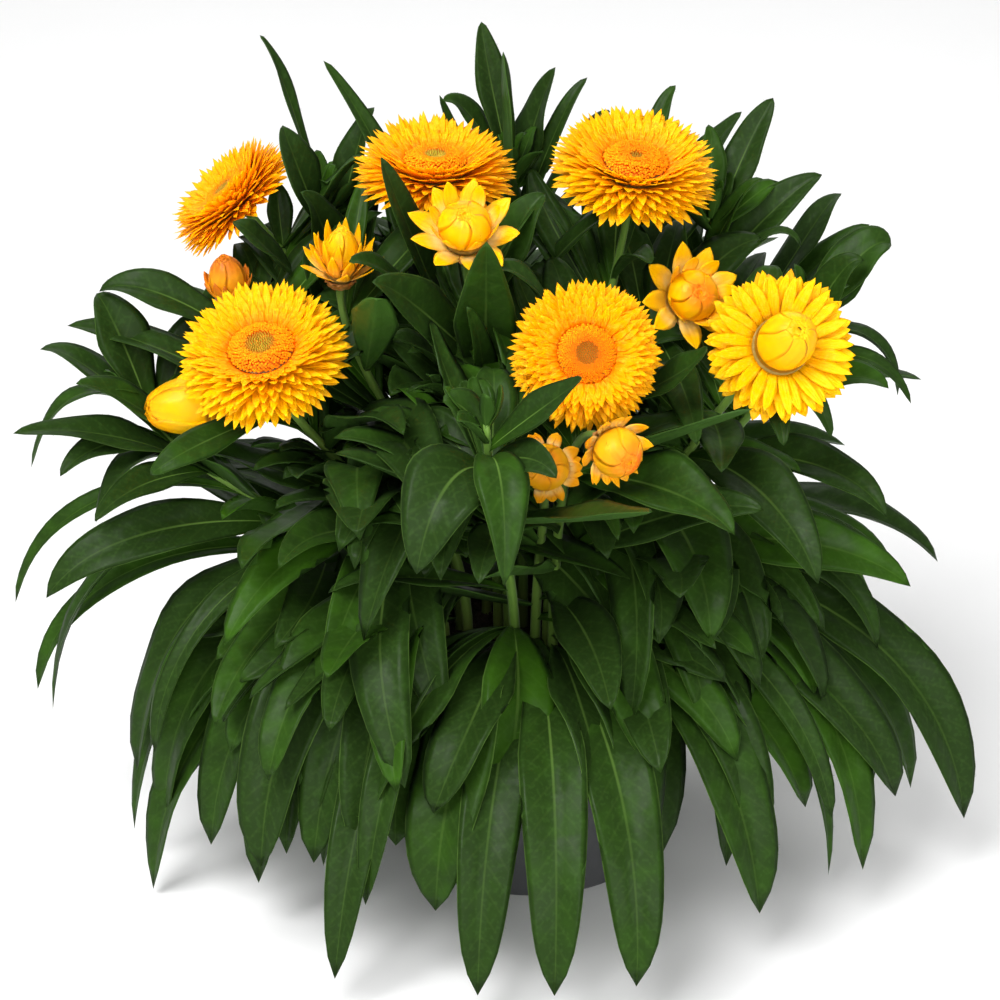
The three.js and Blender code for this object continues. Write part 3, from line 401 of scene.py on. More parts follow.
# Kind and scale of each head
HEADS = {
    "bloom_high_left": ("open", 0.9),
    "bloom_top_middle": ("open", 1.02),
    "bloom_top_right": ("open", 1.06),
    "bloom_left": ("open", 1.08),
    "bloom_centre": ("open", 0.92),
    "bloom_right": ("closed", 0.96),
    "bud_right": ("star", 1.14),
    "bud_top": ("star", 1.16),
    "bud_far_left": ("cone", 1.14),
    "bud_left": ("small", 1.05),
    "bud_high_left": ("tulip", 1),
    "bud_front": ("dome", 0.96),
    "bud_front_right": ("dome", 1.02),
}

# How golden each bloom is, from lemon to deep gold
BLOOM_TONES = {
    "bloom_high_left": 0.5,
    "bloom_top_middle": 0.4,
    "bloom_top_right": 0.1,
    "bloom_left": 0.05,
    "bloom_centre": 0.45,
    "bloom_right": 0.0,
}

# Radius of the closed florets in the middle of each open bloom, and how brown they are
MIDDLES = {
    "bloom_high_left": (4.2, 0.5),
    "bloom_top_middle": (3.4, 0.0),
    "bloom_top_right": (1.6, 0.6),
    "bloom_left": (4.4, 0.1),
    "bloom_centre": (3.8, 0.8),
}

# How rusty each bud is, how pale its spreading bracts are, and how red the tip of its crown is
BUD_TONES = {
    "bud_right": (0.05, 0.4, 0.7),
    "bud_top": (0.0, 0.6, 0.4),
    "bud_far_left": (0.1, 0.2, 0.3),
    "bud_left": (1.0, 0.2, 0.8),
    "bud_high_left": (0.2, 0.3, 0.2),
    "bud_front": (0.45, 1.0, 0.6),
    "bud_front_right": (0.4, 0.5, 1.0),
}


# Settings

def size(name, description, default):
    return FloatProperty(name=name, description=description, default=default, unit="LENGTH", precision=4)


def share(name, description, default):
    return FloatProperty(name=name, description=description, default=default, subtype="FACTOR", min=0, max=1)


def colour(name, description, default):
    return FloatVectorProperty(
        name=name, description=description, default=default, size=3, subtype="COLOR", min=0, max=1)


class PotSettings(PropertyGroup):
    height: size("Height", "From the surface to the top of the rim", POT_BOX[1].z)
    rim_radius: size("Rim radius", "Outer radius of the rim", POT_BOX[1].x)
    plastic: colour("Plastic", "Colour of the pot", (0.05, 0.052, 0.055))


class SoilSettings(PropertyGroup):
    crumbs: IntProperty(name="Crumbs", description="Loose crumbs on the soil", default=260, min=0)
    peat: colour("Peat", "Colour of the damp peat", (0.03, 0.018, 0.011))
    fibre: colour("Fibre", "Colour of the dry fibres", (0.12, 0.075, 0.04))


class LeafSettings(PropertyGroup):
    thickness: size("Thickness", "Leaf blade beside its midrib", 0.00045)
    wave: share("Wave", "How far the edges wave, as a share of half the width", 0.15)
    hair: size("Hair", "Length of the hairs on stems and leaf edges", 0.0011)
    young: IntProperty(name="Young leaves", description="Small leaves on each stem", default=16, min=0)
    skirt: IntProperty(name="Skirt leaves", description="Leaves that hang over the rim", default=75, min=0)
    # Dark and Bright are the ends of the leaf's tone, which carries painted light and shade besides the leaf's
    # own tone: Dark also stands for a shaded leaf, and Bright for a lit one
    dark: colour("Dark", "Upper side of an old leaf", (0.0145, 0.034, 0.0055))
    bright: colour("Bright", "Upper side of a young or sunlit leaf", (0.036, 0.112, 0.004))
    back: colour("Back", "Underside", (0.05, 0.12, 0.02))
    vein: colour("Vein", "Midrib and side veins", (0.15, 0.27, 0.05))
    stem: colour("Stem", "Stems", (0.1, 0.22, 0.025))


class BloomSettings(PropertyGroup):
    rows: IntProperty(name="Rows", description="Rows of bracts in an open bloom", default=11, min=3)
    bracts: IntProperty(name="Bracts", description="Bracts in the outer row", default=40, min=8)
    thickness: size("Thickness", "Papery bract", 0.00025)
    florets: IntProperty(name="Florets", description="Florets in an open bloom", default=600, min=20)
    lemon: colour("Lemon", "Outer bracts", (0.91, 0.48, 0.0))
    gold: colour("Gold", "Inner bracts", (0.96, 0.38, 0.0))
    orange: colour("Orange", "Bracts next to the florets, and outer florets", (1.0, 0.22, 0.0))
    olive: colour("Olive", "Closed florets in the middle", (0.4, 0.33, 0.03))


class BudSettings(PropertyGroup):
    pale: colour("Pale", "Shiny bases of the bracts", (1.0, 0.72, 0.26))
    lemon: colour("Lemon", "Bracts of a bud that is about to open", (0.9, 0.47, 0.0))
    gold: colour("Gold", "Bracts of a closed bud", (0.94, 0.43, 0.01))
    rust: colour("Rust", "Outer bracts, and the edges of the others", (0.52, 0.13, 0.01))


class StageSettings(PropertyGroup):
    floor: colour("Floor", "Floor and backdrop", (0.86, 0.86, 0.86))
    key: FloatProperty(name="Key light", description="Power of the main light", default=46, unit="POWER")
    fill: FloatProperty(name="Fill light", description="Power of the front light", default=20, unit="POWER")


# Numbers and curves

def seen(right, up, y):
    """The point that is seen this far right and up from the front, at a true Y."""
    cos, sin = math.cos(EYE_TILT), math.sin(EYE_TILT)
    z = (up * (1 + y * cos / EYE_FAR) - y * sin) / (cos + up * sin / EYE_FAR)
    nearer = z * sin - y * cos
    return np.array([EYE_AIM[0] + right * (1 - nearer / EYE_FAR), y, EYE_AIM[2] + z])


def view_of(point):
    """Right, up and nearness of a point as it is seen from the front."""
    offset = point - EYE_AIM
    nearer = offset @ TO_EYE
    scale = EYE_FAR / (EYE_FAR - nearer)
    up = offset[2] * math.cos(EYE_TILT) + offset[1] * math.sin(EYE_TILT)
    return offset[0] * scale, up * scale, nearer


def seeded(seed):
    """The draw that the plan uses, the same on every run."""
    state = seed

    def draw():
        nonlocal state
        word = 0xFFFFFFFF
        state = (state + 0x6D2B79F5) & word
        t = ((state ^ (state >> 15)) * (state | 1)) & word
        t ^= (t + (((t ^ (t >> 7)) * (t | 61)) & word)) & word
        return (t ^ (t >> 14)) / 4294967296

    return draw


def unit(vector):
    return vector / np.linalg.norm(vector, axis=-1, keepdims=True)


def turned_about(vector, axis, angle):
    """Vectors turned about unit axes, row by row."""
    cos, sin = np.cos(angle)[..., None], np.sin(angle)[..., None]
    along = np.sum(vector * axis, axis=-1, keepdims=True)
    return vector * cos + np.cross(axis, vector) * sin + axis * along * (1 - cos)


def bezier(controls, t):
    t = np.atleast_1d(t)[:, None]
    a, b, c, d = controls
    return a * (1 - t) ** 3 + 3 * b * t * (1 - t) ** 2 + 3 * c * t ** 2 * (1 - t) + d * t ** 3


def bezier_way(controls, t):
    """Unit tangents, taken a hair's breadth to each side."""
    t = np.atleast_1d(t)
    low, high = np.clip(t - 0.0001, 0, 1), np.clip(t + 0.0001, 0, 1)
    return unit(bezier(controls, high) - bezier(controls, low))


def smooth_through(xs, ys, t):
    """A smooth curve through given stations. ys may hold points."""
    xs, ys, t = np.asarray(xs, float), np.asarray(ys, float), np.asarray(t, float)
    slopes = np.gradient(ys, xs, axis=0)
    i = np.clip(np.searchsorted(xs, t) - 1, 0, len(xs) - 2)
    step = xs[i + 1] - xs[i]
    s = (t - xs[i]) / step
    if ys.ndim > 1:
        step, s = step[:, None], s[:, None]
    stay = (1 + 2 * s) * (1 - s) ** 2 * ys[i] + s * s * (3 - 2 * s) * ys[i + 1]
    return stay + step * (s * (1 - s) ** 2 * slopes[i] + s * s * (s - 1) * slopes[i + 1])


# Meshes

@lru_cache(maxsize=None)
def loft_faces(rings, ring, pointed):
    """Faces of a closed body of rings, which ends in a single point where pointed is true."""
    faces = []
    for low in range(0, (rings - 1) * ring, ring):
        for j in range(ring):
            k = (j + 1) % ring
            faces.append((low + j, low + k, low + ring + k, low + ring + j))
    last = (rings - 1) * ring
    faces.append(tuple(range(ring - 1, -1, -1)))
    if pointed:
        faces += [(last + j, last + (j + 1) % ring, last + ring) for j in range(ring)]
    else:
        faces.append(tuple(last + j for j in range(ring)))
    return faces


class Shape:
    """Points in millimetres and faces of one piece. Each point has six values for its paint.

    For a leaf they are across, along, side (1 for the upper one), phase of the veins, tone, which carries
    painted light and shade, and a draw of its own. A bract has its blush in place of the veins. A floret has
    how far out it stands in place of across, how brown it is in place of the veins, and how open it is in place
    of the tone.
    """

    def __init__(self):
        self.points = []
        self.paint = []
        self.faces = []
        self.slots = []
        self.count = 0

    def add(self, points, faces, paint, slot=0):
        points = np.asarray(points, float).reshape(-1, 3)
        self.points.append(points)
        self.paint.append(np.broadcast_to(np.asarray(paint, float).reshape(-1, 6), (len(points), 6)))
        self.faces.extend([tuple(i + self.count for i in face) for face in faces])
        self.slots.extend([slot] * len(faces))
        self.count += len(points)

    def place(self, turn, centre):
        self.points = [points @ turn.T + centre for points in self.points]

    def piece(self, name, materials):
        mesh = bpy.data.meshes.new(name)
        mesh.from_pydata((np.concatenate(self.points) * MM).tolist(), [], self.faces)
        paint = np.concatenate(self.paint).astype(np.float32)
        for attribute, columns in (("place", paint[:, :3]), ("grain", paint[:, 3:])):
            layer = mesh.attributes.new(attribute, "FLOAT_VECTOR", "POINT")
            layer.data.foreach_set("vector", np.ascontiguousarray(columns).ravel())
        for material in materials:
            mesh.materials.append(material)
        mesh.polygons.foreach_set("material_index", self.slots)
        mesh.polygons.foreach_set("use_smooth", [True] * len(self.faces))
        mesh.update()
        if mesh.validate():
            raise RuntimeError(f"{name} has faces that had to be mended")
        made = bpy.data.objects.new(name, mesh)
        bpy.context.scene.collection.objects.link(made)
        return made


def spread_across(places):
    """Places across a blade, from its right margin to its left one, closer together near the margins."""
    across = np.linspace(1, -1, places)
    return np.sign(across) * np.abs(across) ** 0.85


def blade(shape, top, normal, thick, paint, tip, slot=0):
    """A closed blade below its upper face, which has a row for each station and a column for each place
    across. It comes to the margins with no thickness."""
    stations, places = top.shape[:2]
    thick = thick * np.ones((stations, places))
    thick[:, [0, -1]] = 0
    bottom = (top - normal * thick[..., None])[:, -2:0:-1]
    ring = np.concatenate([top, bottom], axis=1)
    across = spread_across(places)
    colours = np.zeros((stations, ring.shape[1], 6))
    colours[..., 0] = np.concatenate([across, across[-2:0:-1]])
    along, phase, tone, draw = paint
    colours[..., 1] = along[:, None]
    colours[..., 2] = np.concatenate([[0.5], np.ones(places - 2), [0.5], np.zeros(places - 2)])
    colours[..., 3] = phase if np.isscalar(phase) else np.concatenate([phase, phase[:, -2:0:-1]], axis=1)
    colours[..., 4] = tone
    colours[..., 5] = draw
    end = np.array([[0, 1, 0.5, phase if np.isscalar(phase) else 0, tone, draw]])
    points = np.concatenate([ring.reshape(-1, 3), tip[None]])
    colours = np.concatenate([colours.reshape(-1, 6), end])
    shape.add(points, loft_faces(stations, ring.shape[1], True), colours, slot)


def round_angles(sides):
    return np.linspace(0, 2 * math.pi, sides, endpoint=False)


def lathe(profile, sides, paint, shape, slot=0):
    """A closed body turned about Z from a profile that runs from the axis below to the axis above."""
    angle = round_angles(sides)
    rings = [(r * np.cos(angle), r * np.sin(angle), np.full(sides, z)) for r, z in profile]
    points = np.array(rings).transpose(0, 2, 1)
    shape.add(points, loft_faces(len(profile), sides, False), paint, slot)


def hairs(shape, roots, ways, length, draw, slot=0):
    """Fine hairs, each a slim three-sided spike."""
    for root, way in zip(roots, unit(ways)):
        beside = unit(np.cross(way, UP + 0.01))
        other = np.cross(way, beside)
        spread = [beside, -0.5 * beside + 0.87 * other, -0.5 * beside - 0.87 * other]
        base = [root - way * 0.1 + 0.045 * one for one in spread]
        tip = root + way * length * (0.6 + 0.8 * draw.random())
        shape.add(base + [tip], ((0, 1, 3), (1, 2, 3), (2, 0, 3), (2, 1, 0)), (0, 0.5, 1, 0, 0.5, 0.5), slot)


# Stems and leaves of the plan

def stem_curve(end, facing):
    """Controls of the curve of a stem, from where it leaves the soil."""
    base = np.array([end[0] * CROWN, end[1] * CROWN, STEM_FREE])
    reach = np.linalg.norm(end - base)
    first = base + UP * (end[2] - STEM_FREE) * 0.4
    return np.array([base, first, end - facing * 0.24 * reach, end])


def plan_stems():
    stems = []
    for name, at, faces, head, leaves in STEMS:
        centre = seen(*at)
        facing, end = UP, centre
        if head:
            facing = unit(np.array(faces, float))
            kind, scale = HEADS[head]
            end = centre + facing * (KINDS[kind]["foot"][1] * scale - GAP)
        stems.append({"name": name, "centre": centre, "facing": facing, "head": head, "end": end,
                      "leaves": leaves})
    for name, bearing, reach, height, count in BACK_SHOOTS:
        angle = math.radians(bearing)
        end = np.array([reach * math.cos(angle), reach * math.sin(angle), height])
        facing = unit(np.array([math.cos(angle) * 0.5, math.sin(angle) * 0.5, 0.9]))
        stems.append({"name": name, "facing": facing, "head": None, "end": end, "leaves": None,
                      "count": count})
    for stem in stems:
        stem["curve"] = stem_curve(stem["end"], stem["facing"])
    return stems


def leaf_plan(stem, along, aim, width, rise, arch, turn, front=None):
    root = bezier(stem["curve"], along)[0]
    return {"curve": stem["curve"], "along": along, "root": root, "aim": aim, "width": width, "rise": rise,
            "arch": arch, "turn": turn, "front": front}


def listed_leaves(stem):
    """The leaves that the plan lists for a stem."""
    return [
        leaf_plan(stem, along, seen(right, up, y), width, rise, arch, turn, (right, up))
        for along, right, up, y, width, rise, arch, turn in stem["leaves"]
    ]


def ruled_leaves(stem, draw):
    """The leaves of a shoot behind, long and low at its foot, short and steep at its end."""
    leaves = []
    bearing = math.atan2(stem["end"][1], stem["end"][0])
    for i in range(stem["count"]):
        part = i / (stem["count"] - 1)
        along = 0.03 + 0.9 * part
        root = bezier(stem["curve"], along)[0]
        swing = (1 if i % 2 else -1) * (0.25 + 0.5 * draw())
        if part > 0.7:
            swing += (draw() - 0.5) * 2
        angle = bearing + swing
        length = 128 - 66 * part + 14 * draw()
        climb = -0.75 + 1.5 * part + 0.2 * draw()
        out = length * math.cos(climb)
        height = max(root[2] + length * math.sin(climb), 14 + 30 * draw())
        aim = np.array([root[0] + out * math.cos(angle), root[1] + out * math.sin(angle), height])
        leaves.append(leaf_plan(stem, along, aim, 24 - 10 * part, 4, 6, 0))
    return leaves


def filling_leaves(stem, draw):
    """Leaves that fill the inside of the plant, beside the listed ones."""
    leaves = []
    bearing = math.atan2(stem["end"][1], stem["end"][0])
    for i in range(FILL_COUNT):
        along = 0.16 + (0.62 * (i + draw() * 0.8)) / FILL_COUNT
        root = bezier(stem["curve"], along)[0]
        angle = bearing + (1 if i % 2 else -1) * (0.5 + 1.4 * draw())
        length = 62 + 34 * draw()
        climb = -0.1 + 0.8 * along + 0.3 * draw()
        out = length * math.cos(climb)
        aim = root + np.array([out * math.cos(angle), out * math.sin(angle), length * math.sin(climb)])
        leaves.append(leaf_plan(stem, along, aim, 15 + 4 * draw(), 6, 8, 0.2))
    return leaves


def leaf_curve(leaf):
    """Controls of a leaf's middle line. A leaf whose tip is low first goes out and then falls."""
    root, tip = leaf["root"], leaf["tip"]
    chord = tip - root
    droop = max(0, root[2] - tip[2])
    fall = min(1, droop / 60)
    level = chord * (1, 1, 0)
    forward = np.array([0.0, -1.0, 0.0]) if leaf["front"] else unit(level)
    push = forward * leaf["push"]
    first = root + chord * 0.3 + level * 0.1 * fall + UP * (leaf["rise"] + 0.5 * droop) + push
    last = root + chord * 0.76 + level * 0.18 * fall + UP * (leaf["arch"] + 0.55 * droop) + push
    return np.array([root, first, last, tip])


def leaf_frame(leaf, t, twist=0.0):
    """Middle line, side and normal of a leaf at stations t."""
    controls = leaf_curve(leaf)
    middle, way = bezier(controls, t), bezier_way(controls, t)
    level = np.cross(UP, unit((leaf["tip"] - leaf["root"]) * (1, 1, 0)))
    flat = unit(np.cross(way, level))
    normal = flat * (1 - leaf["turn"]) + TO_EYE * leaf["turn"]
    normal = unit(normal - way * np.sum(normal * way, axis=1, keepdims=True))
    normal = turned_about(normal, way, leaf["roll"] + twist * np.atleast_1d(t) ** 2)
    return middle, np.cross(normal, way), normal


def leaf_shape(width):
    return next(shape for shape in LEAF_SHAPES if width >= shape[0])


def bent(leaf, slide, shrink, deeper, lift=0.0, push=0.0, roll=0.0):
    """The leaf with its root slid along the stem, its length shrunk, its tip moved, and its blade bent."""
    root = bezier(leaf["curve"], min(0.98, max(0.01, leaf["along"] + slide)))[0]
    aim = leaf["aim"]
    if leaf["front"]:
        aim = seen(*leaf["front"], aim[1] + deeper)
    else:
        aim = leaf["root"] + turned_about(aim - leaf["root"], UP, np.array(math.radians(deeper)))
    tip = root + (aim - root) * (1 - shrink)
    tip[2] = max(tip[2], LOWEST_LEAF)
    return {**leaf, "root": root, "tip": tip, "width": leaf["width"] * (1 - shrink * 0.6),
            "rise": leaf["rise"] + lift, "arch": leaf["arch"] + lift * 1.3, "push": push, "roll": roll}


def misfit(leaf, tree):
    """How far this leaf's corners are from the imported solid's."""
    _, stations, widths = leaf_shape(leaf["width"])
    chosen = [len(stations) // 2, len(stations) - 1]
    middle, side, normal = leaf_frame(leaf, np.array([stations[i] for i in chosen], float))
    half = (LEAF_ROOT_WIDTH + (leaf["width"] - LEAF_ROOT_WIDTH) * np.array([widths[i] for i in chosen])) / 2
    worst = 0
    for i in range(2):
        for sign in (-1, 1):
            corner = middle[i] + side[i] * half[i] * sign + normal[i] * half[i] * LEAF_FOLD
            worst = max(worst, tree.find(corner)[2])
    return worst


def packed_leaf(leaf, tree):
    """The leaf as it was bent clear of its neighbours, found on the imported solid. None if no bend fits it."""
    best, nearest = None, LEAF_MATCH
    for slide, shrink, deeper in product(SLIDES, SHRINKS, TURNS):
        if tree.find(bent(leaf, slide, shrink, deeper)["tip"])[2] > nearest:
            continue
        for lift, push, roll in product(LIFTS, PUSHES, ROLLS):
            one = bent(leaf, slide, shrink, deeper, lift, push, roll)
            off = misfit(one, tree)
            if off < nearest:
                best, nearest = one, off
    return best


def tree_of(node):
    """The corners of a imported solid, in millimetres, for a search by place."""
    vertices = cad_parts[node].data.vertices
    tree = KDTree(len(vertices))
    for vertex in vertices:
        tree.insert(vertex.co / MM, vertex.index)
    tree.balance()
    return tree


def planned_leaves(stems):
    """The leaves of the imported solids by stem: 161 of 163, because two of leafy_shoot_left aren't found."""
    draw = seeded(PLAN_SEED)
    leaves = {stem["name"]: [] for stem in stems}
    for stem in stems:
        if stem["leaves"] is not None:
            leaves[stem["name"]] += listed_leaves(stem)
    for stem in stems:
        if stem["leaves"] is None:
            leaves[stem["name"]] += ruled_leaves(stem, draw)
    for stem in stems:
        if stem["leaves"] is not None:
            leaves[stem["name"]] += filling_leaves(stem, draw)
    found = {}
    for name, plans in leaves.items():
        tree = tree_of(name)
        found[name] = [leaf for leaf in (packed_leaf(plan, tree) for plan in plans) if leaf]
    return found


# Fine leaves and stems

def grow_leaf(shape, leaf, settings, draw, detail, tone):
    """A leaf with waved edges, a grooved midrib with a rib below, and a tip that bends a little."""
    stations, places, margin_hairs, sway = detail
    t = (np.linspace(0, 1, stations) ** 0.94)[:-1]
    middle, side, normal = leaf_frame(leaf, t, twist=draw.uniform(-0.35, 0.35))
    _, xs, ys = leaf_shape(leaf["width"])
    outline = np.clip(smooth_through(xs + (1,), ys + (0,), t), 0, 1)
    hang = float(np.clip((130 - leaf["tip"][2]) / 70, 0, 1))
    outline = outline ** (1 - 0.25 * hang * np.clip((t - 0.5) / 0.2, 0, 1))
    foot = 0.66 - 0.2 * hang
    outline = outline * (foot + (1.12 - 0.08 * hang - foot) * np.clip(t / 0.5, 0, 1) ** (0.8 + 0.3 * hang))
    outline = outline * (1 - 0.34 * (1 - hang) * np.clip((t - 0.55) / 0.4, 0, 1))
    half = (LEAF_ROOT_WIDTH + (leaf["width"] - LEAF_ROOT_WIDTH) * outline) / 2
    half *= np.clip((1 - t) / 0.05, 0, 1) ** 0.7
    length = np.linalg.norm(np.diff(middle, axis=0), axis=1).sum()
    middle = middle + side * (length * draw.uniform(-sway, sway) * np.sin(math.pi * t ** 1.3))[:, None]
    across = spread_across(places)
    far = np.abs(across)
    waves = draw.uniform(0.7, 1.1) + length / draw.uniform(65, 110)
    phase, other = draw.uniform(0, 6.28), draw.uniform(0.5, 5.5)
    swing = np.sin(2 * math.pi * waves * t[:, None] + phase + (across > 0) * other)
    height = half[:, None] * LEAF_FOLD * draw.uniform(0.8, 1.8) * (1.6 * far - 0.6 * far ** 2)
    wave = settings.wave * draw.uniform(0.3, 1.5)
    height = height + half[:, None] * wave * far ** 1.6 * swing * np.sin(math.pi * t[:, None]) ** 0.5
    bend, reach = np.clip((t - 0.7) / 0.3, 0, 1)[:, None] ** 2, draw.uniform(-0.8, 3.2)
    height = height - bend * reach
    groove = np.exp(-(far / 0.1) ** 2)
    height = height - groove * np.minimum(0.35, half * 0.07)[:, None]
    thick = settings.thickness / MM * (1 - far ** 6) * np.ones((len(t), 1))
    thick = thick + groove * (1.1 * (1 - t) + 0.15)[:, None] * np.minimum(1, half / 4)[:, None]
    top = middle[:, None] + side[:, None] * (half[:, None] * across)[..., None]
    top = top + normal[:, None] * height[..., None]
    veins = length / 7.5 * t[:, None] - 0.16 * half[:, None] * far
    end = leaf["tip"] - normal[-1] * reach
    blade(shape, top, normal[:, None], thick, (t, veins, tone, draw.random()), end)
    rows = [draw.randrange(2, len(t) - 1) for _ in range(margin_hairs)]
    edges = [draw.choice((0, -1)) for _ in rows]
    lean = np.array([[draw.random()] for _ in rows])
    roots = top[rows, edges] * (1 - lean) + top[np.add(rows, 1), edges] * lean
    ways = side[rows] * np.where(np.array(edges) == 0, 1, -1)[:, None] + normal[rows] * (lean * 1.6 - 0.8)
    hairs(shape, roots, ways, settings.hair / MM * 0.8, draw)


def grow_stem(shape, stem, settings, draw):
    """A ribbed stem with short hairs, from in the soil to under its head."""
    steps, sides = 24, 3 * STEM_RIBS
    t = np.linspace(0, 1, steps)
    foot = stem["curve"][0] - UP * (STEM_FREE - SOIL_TOP + STEM_DEPTH)
    middle = np.concatenate([[foot], bezier(stem["curve"], t)])
    way = np.concatenate([[UP], [UP], bezier_way(stem["curve"], t[1:])])
    along = np.concatenate([[0], t])
    radius = STEM_BASE_RADIUS + (STEM_TOP_RADIUS - STEM_BASE_RADIUS) * along
    if stem["head"]:
        radius = radius * (1 + 0.35 * np.clip((along - 0.92) / 0.08, 0, 1) ** 2)
    across = np.array([1.0, 0, 0])
    angle = round_angles(sides)
    ridge = np.cos(STEM_RIBS * angle)
    rings = []
    for point, tangent, size_here in zip(middle, way, radius):
        across = unit(across - tangent * (across @ tangent))
        beside = np.cross(tangent, across)
        ribbed = size_here * 0.95 * (1 + 0.06 * ridge)
        ring = point + np.outer(ribbed * np.cos(angle), across)
        rings.append(ring + np.outer(ribbed * np.sin(angle), beside))
    rings = np.array(rings)
    paint = np.zeros((len(middle), sides, 6))
    paint[..., 0] = ridge
    paint[..., 1] = along[:, None]
    paint[..., 2] = 1
    paint[..., 4] = draw.uniform(0.2, 0.8)
    paint[..., 5] = draw.random()
    shape.add(rings, loft_faces(len(middle), sides, False), paint, slot=1)
    rows = np.array([draw.randrange(3, steps) for _ in range(STEM_HAIRS)])
    columns = np.array([draw.randrange(sides) for _ in rows])
    slide = np.array([[draw.random()] for _ in rows])
    roots = rings[rows, columns] * slide + rings[rows - 1, columns] * (1 - slide)
    ways = roots - middle[rows] * slide - middle[rows - 1] * (1 - slide)
    hairs(shape, roots, ways, settings.hair / MM, draw, slot=1)


def tone_with_painted_light(leaf, draw):
    """Painted light and shade by height: leaves with a low root are painted brighter and low tips darker. Here
    and there is a light one.
    """
    # low is painted light and shade by height: a low root is painted brighter, and a low tip is painted darker
    low = np.clip((150 - leaf["root"][2]) / 60, 0, 1) * 0.12
    low = low - np.clip((70 - leaf["tip"][2]) / 40, 0, 1) * 0.16
    return float(np.clip(low + draw.uniform(-0.2, 0.22) + 0.4 * (draw.random() < 0.1), 0, 1))


def free_leaf(root, tip, width, draw, rise=5.0, arch=7.0, turn=0.25):
    """A leaf that isn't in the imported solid."""
    return {"root": root, "tip": tip, "width": width, "rise": rise, "arch": arch, "turn": turn, "front": None,
            "push": draw.uniform(-2, 4), "roll": draw.uniform(-0.5, 0.5)}


def young_leaves(stem, heads, count, draw):
    """Smaller leaves in a spiral round the stem, inside the plant and out of the blooms' way."""
    leaves = []
    for i in range(count * 3):
        along = 0.04 + 0.86 * ((i * 0.618) % 1) ** 0.75
        root = bezier(stem["curve"], along)[0]
        angle = i * SPIRAL_TURN + draw.uniform(-0.4, 0.4)
        if along < 0.4:
            if root[1] < 20 and i % 2:
                continue
            climb, length, width = draw.uniform(-0.8, 0.2), draw.uniform(76, 112), draw.uniform(18, 26)
        else:
            climb = draw.uniform(0.1, 0.6) + 0.5 * along
            length, width = draw.uniform(40, 72), draw.uniform(11, 17)
        out = length * math.cos(climb)
        tip = root + np.array([out * math.cos(angle), out * math.sin(angle), length * math.sin(climb)])
        leaf = free_leaf(root, tip, width, draw)
        if inside_plant(leaf) and clear_of_all(leaf, heads):
            leaves.append(leaf)
        if len(leaves) == count:
            break
    return leaves


def tip_leaves(stem, heads, draw):
    """The tuft of small leaves round the growing point of a shoot that has no head."""
    leaves = []
    end = stem["end"] - stem["facing"]
    for i in range(TIP_LEAVES):
        angle = i * SPIRAL_TURN + draw.uniform(-0.3, 0.3)
        lean = 0.25 + 0.09 * i
        way = np.array([math.sin(lean) * math.cos(angle), math.sin(lean) * math.sin(angle), math.cos(lean)])
        way = turn_to(stem["facing"]) @ way
        root = end - stem["facing"] * 0.8 * i
        tip = root + way * draw.uniform(12, 17) * (1 + 0.11 * i)
        leaf = free_leaf(root, tip, 4.5 + 0.8 * i, draw, 1, 2)
        if clear_of_heads(leaf, heads):
            leaves.append(leaf)
    return leaves


def neighbours(leaf, heads, draw):
    """Leaves that hang close beside and under a hanging leaf, as in a full skirt of leaves."""
    leaves = []
    for swing in (-1, 1, -2, 2):
        angle = np.array(swing * math.radians(draw.uniform(6, 10)))
        tip = turned_about(leaf["tip"], UP, angle) * (1, 1, 0) * draw.uniform(0.84, 0.96)
        tip[2] = max(leaf["tip"][2] + draw.uniform(-4, 26), LOWEST_LEAF)
        root = turned_about(leaf["root"], UP, angle * 0.7) * (0.92, 0.92, 1) - UP * draw.uniform(1, 5)
        near = {**leaf, "root": root, "tip": tip, "width": leaf["width"] * draw.uniform(0.72, 0.95),
                "front": None, "push": -draw.uniform(0, 3), "roll": leaf["roll"] + draw.uniform(-0.35, 0.35)}
        if clear_of_all(near, heads):
            leaves.append(near)
    return leaves


def fuller_leaves(stem):
    """The leaves of this stem that fill the outline of the plant."""
    plans = [leaf_plan(stem, along, seen(right, up, y), *form, (right, up))
             for name, along, right, up, y, *form in FULLER_LEAVES if name == stem["name"]]
    return [bent(leaf, 0, 0, 0) for leaf in plans]


def skirt_leaves(stems, heads, count, draw):
    """Long leaves from the feet of the stems that hang over the rim all round, by the name of their stem."""
    leaves = {stem["name"]: [] for stem in stems}
    for i in range(count):
        angle = 2 * math.pi * (i + draw.uniform(-0.3, 0.3)) / count
        reach, low, high = SKIRT_ROWS[i % len(SKIRT_ROWS)]
        reach *= draw.uniform(0.94, 1.04)
        spoke = np.array([math.cos(angle), math.sin(angle) * 0.94, 0])
        stem = min(stems, key=lambda one: np.linalg.norm(one["curve"][0] * (1, 1, 0) - spoke * 30))
        root = bezier(stem["curve"], draw.uniform(0.02, 0.12))[0]
        tip = spoke * reach + UP * draw.uniform(low, high)
        leaf = free_leaf(root, tip, draw.uniform(20, 28), draw, 4, 5, 0)
        if clear_of_pot(leaf) and clear_of_heads(leaf, heads):
            leaves[stem["name"]].append(leaf)
    return leaves


def clear_of_pot(leaf):
    """The leaf stays outside the rim and the wall of the pot, and above the surface."""
    t = np.linspace(0, 1, 14)
    middle, side, _ = leaf_frame(leaf, t)
    half = leaf["width"] * 0.5 * np.sin(math.pi * t ** 0.8)
    for points in (middle, middle + side * half[:, None], middle - side * half[:, None]):
        radius = np.hypot(points[:, 0], points[:, 1])
        below = points[:, 2] < POT_BOX[1].z / MM + 2
        if points[:, 2].min() < 2 or np.any(below & (radius < RIM_CLEARANCE)):
            return False
    return True


